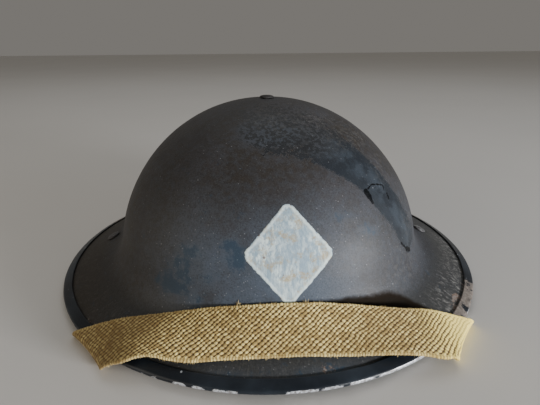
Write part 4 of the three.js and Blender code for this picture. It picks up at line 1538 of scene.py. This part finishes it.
@dataclass
class StrapRoute:
    """The strap's way from one lug, under and round the rim, over the brim, and back."""

    width: float = 27.0
    thickness: float = 2.0
    tail: float = 24.0
    taper: float = 0.6
    wire: float = 2.8
    gap: float = 0.3
    bar: Vector = field(default_factory=lambda: Vector((-97, -15, 8)))
    folds: dict[Side, Fold] = field(default_factory=lambda: {
        Side.LEFT: Fold(-97.0, -114.6, math.radians(-49.5), math.radians(45)),
        Side.RIGHT: Fold(-100.2, -115.5, math.radians(-54.5), math.radians(44)),
    })
    wrap_radius: float = 3.0
    wrap_from: float = math.radians(-90)
    wrap_to: float = math.radians(58)
    wrap_flat: float = 2.0
    wrap_hollow: float = 1.2
    run: Sequence[tuple[float, float, float, float]] = (
        (-76, -120.3, 9.8, 13), (-60, -122.0, 12.6, 18), (-40, -124.6, 14.4, 30),
        (-20, -126.4, 16.1, 37), (0, -127.0, 17.0, 39.5), (20, -126.6, 16.5, 38.5),
        (40, -125.1, 14.8, 32), (60, -124.1, 12.6, 24.5), (78, -123.2, 10.0, 19),
    )
    fine: float = 0.45
    coarse: float = 1.2

    def turn_round(self, fold: Fold) -> list[Station]:
        """The fold, from flat under the rim to flat over it.

        Args:
            fold: where and how the strap turns.

        Returns:
            Its stations. Those on the bend run along the crease, aslant to the strap.
        """
        crease = Vector((math.cos(fold.crease), math.sin(fold.crease), 0))
        outwards = Vector((crease.y, -crease.x, 0))
        up = Vector((0, 0, 1))
        sine, cosine = math.sin(fold.crossing), math.cos(fold.crossing)

        def on_bend(turn: float) -> Station:
            """The station at one angle of the bend."""
            face = outwards * math.cos(turn) + up * math.sin(turn)
            around = up * math.cos(turn) - outwards * math.sin(turn)
            middle = (Vector((fold.x, fold.y, 0)) + crease * (self.wrap_radius * turn * cosine
                      / sine) + face * self.wrap_radius)
            return Station(middle, crease * cosine + around * sine, crease / -sine, face,
                           outwards * -self.wrap_hollow, self.fine)

        def beyond(turn: float, distance: float) -> Station:
            """The square station on the flat past one end of the bend."""
            bend = on_bend(turn)
            return Station.square(bend.middle + bend.hollow + bend.along * distance, bend.along,
                                  bend.face.cross(bend.along), self.fine)

        clear = self.width / 2 * cosine / sine + self.wrap_flat
        sweep = self.wrap_to - self.wrap_from
        steps = round(self.wrap_radius * sweep / sine / self.fine)
        bend = [on_bend(self.wrap_from + sweep * i / steps) for i in range(steps + 1)]
        under, over = beyond(self.wrap_from, -clear), beyond(self.wrap_to, clear)
        first = round(clear / self.coarse)
        last = round(clear / self.fine)
        return [*(under.toward(bend[0], i / first) for i in range(first)), *bend,
                *(bend[-1].toward(over, i / last) for i in range(1, last + 1))]

    def bridge(self, start: Station, end: Station, spacing: float) -> list[Station]:
        """The stations strictly between two others, on a curve that keeps both headings.

        Args:
            start: the station it leaves.
            end: the station it reaches.
            spacing: about how far apart they lie.

        Returns:
            The stations in order.
        """
        distance = (end.middle - start.middle).length
        steps = max(2, round(distance / spacing))
        points = (start.middle, start.middle + start.along * distance / 3,
                  end.middle - end.along * distance / 3, end.middle)
        stations = []
        for i in range(1, steps):
            t = i / steps
            r = 1 - t
            weights = (r ** 3, 3 * r * r * t, 3 * r * t * t, t ** 3)
            middle = sum((p * w for p, w in zip(points, weights)), Vector())
            slopes = (r * r, 2 * r * t, t * t)
            heading = sum(((q - p) * w for p, q, w in zip(points, points[1:], slopes)), Vector())
            stations.append(Station.square(middle, heading, start.across.lerp(end.across, t), spacing))
        return stations

    def at_bar(self, fold: Fold) -> Station:
        """The station at the middle of the lug's bar, heading for the fold, on the left."""
        heading = self.turn_round(fold)[0].middle - self.bar
        return Station.square(self.bar, heading, Vector((heading.y, -heading.x, 0)), self.coarse)

    def eye(self, fold: Fold) -> list[Station]:
        """The sewn end, from its cut edge round the lug's bar and forward again.

        Args:
            fold: the fold that the strap heads for.

        Returns:
            The stations in order, on the left.
        """
        bar = self.at_bar(fold)
        radius = self.wire / 2 + self.gap + self.thickness / 2
        half = self.thickness / 2
        path = [(self.tail - 1.2 * i, -half) for i in range(11)]
        path += [(self.tail / 2 * (1 - i / 10), -half - (radius - half) * i / 10) for i in range(1, 10)]
        path += [(-radius * math.sin(math.pi * i / 12), -radius * math.cos(math.pi * i / 12))
                 for i in range(13)]
        path += [(self.tail / 2 * i / 10, radius - (radius - half) * i / 10) for i in range(1, 10)]
        path += [(self.tail / 2, half), (self.tail / 2 + 1.2, half), (self.tail * self.taper, half)]
        stations = []
        for i, (x, z) in enumerate(path):
            before, after = path[max(0, i - 1)], path[min(len(path) - 1, i + 1)]
            heading = bar.along * (after[0] - before[0]) + bar.face * (after[1] - before[1])
            middle = bar.middle + bar.along * x + bar.face * z
            stations.append(Station.square(middle, heading, bar.across, self.coarse))
        return stations

    def hidden(self, fold: Fold) -> list[Station]:
        """The left end of the strap, from its cut edge to above the rim."""
        eye = self.eye(fold)
        turn = self.turn_round(fold)
        return [*eye, *self.bridge(eye[-1], turn[0], self.coarse), *turn]

    def open_knots(self) -> list[Station]:
        """The named stations of the open run over the front brim."""
        middles = [Vector(row[:3]) for row in self.run]
        ends = [middles[0] * 2 - middles[1], *middles, middles[-1] * 2 - middles[-2]]
        knots = []
        for i, row in enumerate(self.run):
            before, here, after = ends[i:i + 3]
            first, last = (here - before).length ** 0.5, (after - here).length ** 0.5
            heading = ((here - before) / first - (after - before) / (first + last) + (after - here) / last)
            lean = math.radians(row[3])
            knots.append(Station.square(here, heading, Vector((0, math.cos(lean),
                                                               math.sin(lean))), self.fine))
        return knots

    def upper_edge(self) -> np.ndarray:
        """Points along the upper edge of the open run, on the upright helmet, in millimetres."""
        places = [one.middle + one.across * (self.width / 2) for one in self.stations()]
        return np.array([tuple(spot) for spot in places
                         if spot.z > 20 or spot.y > -128 and abs(spot.x) < 100])[::3]

    def stations(self) -> list[Station]:
        """Every station of the strap, from the left end to the right end."""
        left = self.hidden(self.folds[Side.LEFT])
        right = [one.mirrored() for one in reversed(self.hidden(self.folds[Side.RIGHT]))]
        knots = [left[-1], *self.open_knots(), right[0]]
        run: list[Station] = []
        for start, end in zip(knots, knots[1:]):
            run += [*self.bridge(start, end, self.fine), end]
        return [*left, *run[:-1], *right]


@dataclass
class ChinStrap:
    """The webbing band: a flat weave with rounded selvages, swept along its route."""

    route: StrapRoute = field(default_factory=StrapRoute)
    body: float = 0.7
    bead: float = 0.3
    rib_radius: float = 0.86
    rib_steps: int = 6
    top_steps: int = 78
    under_steps: int = 16
    lower_waves: Sequence[Triple] = (
        (-64, 1.6, 6), (-43, -1.2, 9), (-76, -1.0, 5), (83, -1.4, 6), (12, 0.3, 7), (38, -0.35, 9),
    )
    upper_waves: Sequence[Triple] = (
        (-90, 0.8, 10), (84, 1.5, 8), (114, -2.4, 5), (-30, 0.35, 6), (22, 0.4, 5), (52, -0.3, 7),
        (-58, -0.3, 6),
    )
    hems: dict[int, np.ndarray] = field(default_factory=dict)
    length: float = 0.0

    def section(self) -> list[tuple[float, float, float]]:
        """One cut: place across, height of the body, and how much the weave lifts it.

        The first and the last point are the same, in the middle of the under side.
        """
        half = self.route.width / 2
        middle = half - self.rib_radius
        inner = half - 1.6

        def rib(sign: int, start: float, end: float, steps: int) -> list[tuple[float, ...]]:
            """Part of the round rib at one selvage."""
            turns = [math.radians(start + (end - start) * i / steps) for i in range(steps + 1)]
            return [(sign * (middle + self.rib_radius * math.cos(t)),
                     self.rib_radius * math.sin(t), 0.0) for t in turns]

        top = [(-inner + 2 * inner * i / self.top_steps, self.body, 1.0) for i in range(self.top_steps + 1)]
        under = [(inner - inner * i / (self.under_steps // 2), -self.body, 0.0)
                 for i in range(self.under_steps // 2 + 1)]
        right = [*rib(1, 124, 0, self.rib_steps), *rib(1, -40, -124, 2)]
        left = [*rib(-1, -124, -40, 2), *rib(-1, 0, 124, self.rib_steps)]
        mirrored = [(-u, v, w) for u, v, w in reversed(under)]
        return [*mirrored, *left, *top, *right, *under]

    def weave(self, along: np.ndarray, across: np.ndarray) -> np.ndarray:
        """The height of the yarn, from 0 to 1.

        Args:
            along: the place along the strap in millimetres.
            across: the place across it.

        Returns:
            The height for each place.
        """
        rows = across / WEAVE.row
        near = np.rint(rows)
        lifts = []
        for row in (near, near + np.where(rows > near, 1, -1)):
            above = rows - row
            count = along / WEAVE.repeat - 0.5 * row - WEAVE.lean * above
            size = (WEAVE.wide * (count - np.rint(count))) ** 2 + (WEAVE.tall * above) ** 2
            lifts.append(np.sqrt(np.clip(1 - size, 0, 1)))
        return np.maximum(*lifts)

    @staticmethod
    def loom(cuts: int, count: int) -> tuple[Piece, np.ndarray, np.ndarray]:
        """Lays out the flat grid that becomes the strap.

        Args:
            cuts: how many points a section has.
            count: how many stations there are.

        Returns:
            The new piece, and for each vertex its point of the section and its station.
        """
        Bench.clear()
        bpy.ops.mesh.primitive_grid_add(x_subdivisions=cuts - 1, y_subdivisions=count - 1, size=2.0)
        piece = Bench.named("webbing_strap")
        flat = Bench.points(piece) * MM
        column, line = (np.rint((flat[:, axis] + 1) / 2 * (number - 1)).astype(int)
                        for axis, number in enumerate((cuts, count)))
        return piece, column, line

    def build(self) -> Piece:
        """Weaves the strap along its route.

        Returns:
            The strap at rest, with its place in the weave kept for each vertex.
        """
        stations = self.route.stations()
        section = np.array(self.section())
        piece, column, line = self.loom(len(section), len(stations))
        rows = {key: np.array([getattr(one, key) for one in stations])
                for key in ("middle", "along", "across", "face", "hollow")}
        steps = np.array([one.step for one in stations])
        fine = np.convolve(np.pad(steps < 0.8, 6, mode="edge"), np.ones(13) / 13, "valid")
        bent = np.linalg.norm(rows["hollow"], axis=1) > 0.99 * self.route.wrap_hollow
        self.ease(rows, steps, bent)
        drawn = rows["middle"] + rows["hollow"]
        travel = np.concatenate([[0], np.cumsum(np.linalg.norm(np.diff(drawn, axis=0), axis=1))])
        travel -= np.interp(0.0, rows["middle"][:, 0], travel)
        skew = (rows["across"] * rows["along"]).sum(axis=1)
        u, v, lift = section[column].T
        x = drawn[line, 0]
        along = travel[line] + u * skew[line]
        half = self.route.width / 2
        inward = 1 - (u / half) ** 2
        loose = [self.scatter(along, u, (7, 5), layer) for layer in (1.0, 6.0)]
        near = [self.scatter(along, u, (2.6, 1.9), layer) for layer in (2.0, 8.0)]
        along = along + 0.9 * loose[0] + 0.5 * near[0]
        across = u + (0.45 * loose[1] + 0.26 * near[1]) * inward
        height = self.weave(along, across) * (1 - 0.7 * smoothstep(86, 103, np.abs(x)))
        rib = smoothstep(half - 1.75, half - 1.6, np.abs(u))
        notch = 0.09 * np.cos(2 * np.pi * along / (WEAVE.repeat / 2)) * rib * fine[line]
        wander = self.scatter(along, u, (23, 19), 3.0)
        fray = self.scatter(along, np.sign(u), (2.1, 0.2), 9.0)
        through = (v + lift * self.bead * height * (0.25 + 0.75 * fine[line])
                   + np.sign(v) * notch + 0.12 * wander * fine[line])
        lower = self.waves(self.lower_waves, x) + 0.22 * fray
        upper = self.waves(self.upper_waves, x) + 0.34 * fray
        outer = (np.abs(u) / half) ** 3
        sideways = u + np.where(u < 0, lower, upper) * outer * fine[line] + np.sign(u) * notch
        places = (rows["middle"][line] + rows["across"][line] * sideways[:, None]
                  + rows["face"][line] * through[:, None] + rows["hollow"][line] * inward[:, None])
        piece.data.vertices.foreach_set("co", (places * MM).astype(np.float32).ravel())
        weave = piece.data.attributes.new("weave", "FLOAT_VECTOR", "POINT")
        laid = np.column_stack([along, across, np.sign(v)]) * MM
        weave.data.foreach_set("vector", laid.astype(np.float32).ravel())
        # painted shade over the left end, which faces away from the window light, and real soil about x = 60
        dirt_and_shade = smoothstep(-44, -78, x - 0.8 * u) * fine[line]
        dirt_and_shade += 0.3 * np.exp(-((x - 60 - 0.6 * u) / 20) ** 2)
        Bench.mask(piece, "soil_and_shade", np.clip(dirt_and_shade, 0, 1))
        self.length = float(travel[-1] - travel[0])
        for sign in (-1, 1):
            tip = column == int(np.argmax(sign * section[:, 0]))
            order = np.argsort(line[tip])
            self.hems[sign] = places[tip][order][fine[line[tip][order]] > 0.9]
        with Bench.edit(piece):
            bpy.ops.mesh.remove_doubles(threshold=1e-6)
            Bench.cap(piece)
        Bench.outwards(piece)
        Bench.smooth(piece, math.radians(80))
        Bench.settle(piece)
        return piece

    def ease(self, rows: dict[str, np.ndarray], steps: np.ndarray, bent: np.ndarray) -> None:
        """Softens the change of heading between the parts of the open run.

        Args:
            rows: the stations' vectors by name, one row each, changed in place.
            steps: how far apart the stations lie.
            bent: whether each station is on a bend round the rim, where nothing changes.
        """
        reach = 14
        kernel = np.exp(-0.5 * (np.arange(-3 * reach, 3 * reach + 1) / reach) ** 2)
        kernel /= kernel.sum()
        still = np.convolve(np.pad(bent | (steps > 0.8), 20, mode="edge"), np.ones(41) / 41, "valid")
        weight = smoothstep(0.55, 0.0, still)[:, None]
        for key in ("middle", "across", "face", "hollow"):
            padded = np.pad(rows[key], ((3 * reach, 3 * reach), (0, 0)), mode="edge")
            soft = np.column_stack([np.convolve(padded[:, axis], kernel, "valid") for axis in range(3)])
            rows[key] = rows[key] * (1 - weight) + soft * weight

    @staticmethod
    def scatter(along: np.ndarray, across: np.ndarray, size: Point, layer: float) -> np.ndarray:
        """Smooth noise over the flat strap.

        Args:
            along: the place along the strap in millimetres.
            across: the place across it.
            size: how long and how wide its lumps are.
            layer: which of many patterns to take.

        Returns:
            One number about 0 for each place.
        """
        return np.array([noise.noise(Vector((s / size[0], t / size[1], layer)))
                         for s, t in zip(along, across)])

    @staticmethod
    def waves(bumps: Sequence[Triple], x: np.ndarray) -> np.ndarray:
        """The sum of smooth bumps, each given by its place, height and reach."""
        return sum(high * np.exp(-0.5 * ((x - at) / reach) ** 2) for at, high, reach in bumps)


@dataclass
class LooseThreads:
    """Broken ends of yarn that stand out of the strap's edges."""

    strap: ChinStrap
    seed: int = 11
    radius: float = 0.13
    steps: int = 5
    upper: int = 120
    lower: int = 90
    lengths: Point = (0.5, 1.3)
    spread: float = 0.55
    tufts: Sequence[tuple[float, int, float]] = ((-19.0, 7, 3.0), (16.5, 4, 2.0), (58.0, 3, 1.4))
    tuft_spread: float = 0.9

    def thread(self) -> Piece:
        """One end of yarn, a unit long and upright: bent, and thinner towards its tip."""
        Bench.clear()
        bpy.ops.mesh.primitive_circle_add(vertices=5, radius=1.0, fill_type="NGON")
        piece = Bench.named("thread")
        with Bench.edit(piece):
            for step in range(self.steps):
                bpy.ops.mesh.extrude_region_move(TRANSFORM_OT_translate={
                    "value": (0.1 * (step + 1) ** 1.4 / self.steps, 0, 1 / self.steps)})
                bpy.ops.transform.resize(value=(0.86, 0.86, 1.0))
        Bench.outwards(piece)
        return piece

    def build(self) -> Piece:
        """Sets copies of the thread along both edges.

        Returns:
            All the threads as one piece, at rest.
        """
        chance = random.Random(self.seed)
        pattern = self.thread()
        copies = []
        for sign, number in ((1, self.upper), (-1, self.lower)):
            hem = self.strap.hems[sign]
            spots = [(chance.randrange(2, len(hem) - 2), chance.uniform(*self.lengths),
                      self.spread) for _ in range(number)]
            if sign > 0:
                for x, count, length in self.tufts:
                    near = int(np.argmin(np.abs(hem[:, 0] - x)))
                    spots += [(near + chance.randrange(-3, 4), length * chance.uniform(0.7, 1.1),
                               self.tuft_spread) for _ in range(count)]
            for at, length, spread in spots:
                copies.append(self.lay(pattern, hem, at, sign, length, spread, chance))
        bpy.data.objects.remove(pattern)
        Bench.take(copies[0])
        for one in copies:
            one.select_set(True)
        bpy.ops.object.join()
        piece = Bench.named("loose_threads")
        bpy.ops.object.transform_apply()
        Bench.smooth(piece, math.radians(80))
        return piece

    def lay(self, pattern: Piece, hem: np.ndarray, at: int, sign: int,
            length: float, spread: float, chance: random.Random) -> Piece:
        """Copies the thread to one place on an edge.

        Args:
            pattern: the thread to copy.
            hem: the edge's points, in millimetres at rest.
            at: which of them the thread stands on.
            sign: 1 for the upper edge and -1 for the lower one.
            length: the thread's length in millimetres.
            spread: how far it may lean from the edge's own direction.
            chance: where the random numbers come from.

        Returns:
            The copy, with its own mesh.
        """
        along = Vector(hem[at + 2] - hem[at - 2]).normalized()
        out = Vector((0, 0.55, 0.83)) * sign
        out = (out - along * out.dot(along)).normalized()
        face = along.cross(out) * -sign
        way = (out + along * chance.uniform(-1, 1) * spread + face * chance.uniform(-0.1, 0.5)).normalized()
        side = way.cross(along).normalized()
        turned = Matrix((side.cross(way), side, way)).transposed().to_4x4()
        foot = Vector(hem[at]) - out * 0.35
        copy = pattern.copy()
        copy.data = pattern.data.copy()
        bpy.context.collection.objects.link(copy)
        width = self.radius * chance.uniform(0.7, 1.2) * MM
        copy.matrix_world = (Matrix.Translation(STANCE.matrix() @ (foot * MM))
                             @ STANCE.matrix().to_3x3().to_4x4() @ turned
                             @ Matrix.Rotation(chance.uniform(-0.8, 0.8), 4, "Z")
                             @ Matrix.Diagonal((width, width, length * MM, 1)))
        return copy


# ---- the studio


@dataclass(frozen=True)
class Lamp:
    """One area light that looks at the helmet.

    Azimuth is in degrees to the right of the front, and elevation above the floor. Distance and
    size are in metres, and power is in watts.
    """

    name: str
    azimuth: float
    elevation: float
    distance: float
    size: Point
    power: float
    colour: Colour

    def hang(self, centre: Vector) -> None:
        """Hangs the light, turned to a centre."""
        turn, rise = math.radians(self.azimuth), math.radians(self.elevation)
        way = Vector((math.sin(turn) * math.cos(rise), -math.cos(turn) * math.cos(rise), math.sin(rise)))
        Bench.clear()
        bpy.ops.object.light_add(type="AREA", location=centre + way * self.distance,
                                 rotation=way.to_track_quat("Z", "Y").to_euler())
        lamp = bpy.context.active_object
        lamp.name = self.name
        lamp.data.shape = "RECTANGLE"
        lamp.data.size, lamp.data.size_y = self.size
        lamp.data.energy = self.power
        lamp.data.color = self.colour


@dataclass
class Studio:
    """A plain pale floor, soft light as from a low window, and the camera.

    The lamps' centre is in metres, and the camera's eye, sensor and lens are in millimetres.
    """

    floor_colour: Colour = (0.74, 0.72, 0.69)
    air_colour: Colour = (0.8, 0.76, 0.7)
    air_strength: float = 0.24
    lamps: Sequence[Lamp] = (
        Lamp("window", 50, 3, 1.3, (0.42, 0.12), 27, (0.99, 0.98, 0.98)),
        Lamp("left_fill", -62, 14, 1.3, (1.2, 0.9), 5.5, (1.0, 0.91, 0.76)),
        Lamp("ceiling", 176, 62, 1.6, (1.8, 1.2), 4.6, (0.94, 0.97, 1.0)),
        Lamp("right_sky", 58, 14, 1.6, (1.3, 0.5), 3.6, (0.62, 0.82, 1.0)),
    )
    centre: Vector = field(default_factory=lambda: Vector((0.0, 0.0, 0.06)))
    eye: Vector = field(default_factory=lambda: Vector((-9.091, -306.755, 158.035)))
    pitch: float = math.radians(20.933)
    yaw: float = math.radians(2.02)
    roll: float = math.radians(0.4651)
    sensor: float = 36.0
    lens: float = 29.12
    near_clip: float = 0.005

    def floor(self) -> None:
        """Lays the floor, with a slight unevenness in its finish."""
        Bench.clear()
        bpy.ops.mesh.primitive_plane_add(size=8.0)
        piece = Bench.named("studio_floor")
        m = Material("pale_floor")
        darker = tuple(0.92 * part for part in self.floor_colour)
        colour = m.mix(m.noise(m.object_place(), 260, 3, 0.5), self.floor_colour, darker)
        piece.data.materials.append(m.finish(base_color=colour, roughness=0.62))

    def world(self) -> None:
        """Fills the room with a dim, even light."""
        world = bpy.data.worlds.new("studio_air")
        world.use_nodes = True
        air = world.node_tree.nodes["Background"]
        air.inputs["Color"].default_value = (*self.air_colour, 1.0)
        air.inputs["Strength"].default_value = self.air_strength
        bpy.context.scene.world = world

    def camera(self) -> None:
        """Sets the camera in front of the helmet, looking down on it a little."""
        level = math.cos(self.pitch)
        look = Vector((math.sin(self.yaw) * level, math.cos(self.yaw) * level, -math.sin(self.pitch)))
        right = Vector((math.cos(self.yaw), -math.sin(self.yaw), 0.0))
        down = look.cross(right)
        x_axis = right * math.cos(self.roll) + down * math.sin(self.roll)
        y_axis = right * math.sin(self.roll) - down * math.cos(self.roll)
        turned = Matrix((x_axis, y_axis, -look)).transposed().to_4x4()
        Bench.clear()
        bpy.ops.object.camera_add()
        camera = bpy.context.active_object
        camera.name = "studio_camera"
        camera.matrix_world = Matrix.Translation(self.eye * MM) @ turned
        camera.data.sensor_width = self.sensor
        camera.data.lens = self.lens
        camera.data.clip_start = self.near_clip
        bpy.context.scene.camera = camera

    def build(self) -> None:
        """Sets the floor, the lights and the camera."""
        self.floor()
        for lamp in self.lamps:
            lamp.hang(self.centre)
        self.world()
        self.camera()


# ---- all of it


def dress_node(name: str, material: Finish) -> None:
    """Gives a node of the frame a better material, in place of the one it came with."""
    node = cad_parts[name]
    node.data.materials.clear()
    node.data.materials.append(material)
    LOG.info("%s: dressed", name)


def main() -> None:
    """Builds and dresses every sub-assembly."""
    logging.basicConfig(level=logging.INFO, format="%(name)s: %(message)s")
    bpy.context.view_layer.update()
    effects = Effects()

    shell = Shell()
    bowl = shell.build()
    Bench.settle(bowl)
    marks = ShellMarks()
    route = StrapRoute()
    marks.dress(bowl, shell, route.upper_edge())
    Bench.fit(bowl, ShellPaint(effects, marks).material(), "shell_paint", "shell")

    band = RimBand(shell)
    strip = band.build()
    Bench.settle(strip)
    band.dress(strip)
    Bench.fit(strip, BandPaint(effects).material(), "band_paint", "rim_band")

    screw = CrownScrew(shell)
    head = screw.build_screw()
    Bench.mask(head, "crown", np.full(len(head.data.vertices), 0.0))
    worn = FittingSteel(effects, "screw_paint", (0.018, 0.016, 0.016), wear=0.12, rough=0.62)
    Bench.fit(head, worn.material(), "shell_paint", "crown_screw")
    bare = FittingSteel(effects, "dull_steel", (0.09, 0.075, 0.06), wear=0.5).material()
    Bench.fit(screw.build_nut(), bare, "bare_steel", "crown_nut")

    # the right rivet's barer top is also a painted highlight, on the side of the window light
    for side, wear in ((Side.LEFT, 0.04), (Side.RIGHT, 0.2)):
        rivet = StrapRivet(shell, side)
        piece = rivet.build()
        rivet.crown(piece, wear)
        steel = FittingSteel(effects, f"rivet_steel_{side.word}", (0.05, 0.047, 0.05),
                             metal=(0.36, 0.37, 0.38), wear=0.34)
        Bench.fit(piece, steel.material(), "bare_steel", f"strap_rivet_{side.word}")
        dress_node(f"strap_lug_{side.word}", bare)

    strap = ChinStrap(route)
    webbing = strap.build()
    Bench.fit(webbing, Webbing(effects).material(), "webbing", "chin_strap")
    Bench.fit(LooseThreads(strap).build(), Yarn().material(), "webbing")

    Studio().build()


if __name__ == "__main__":
    main()
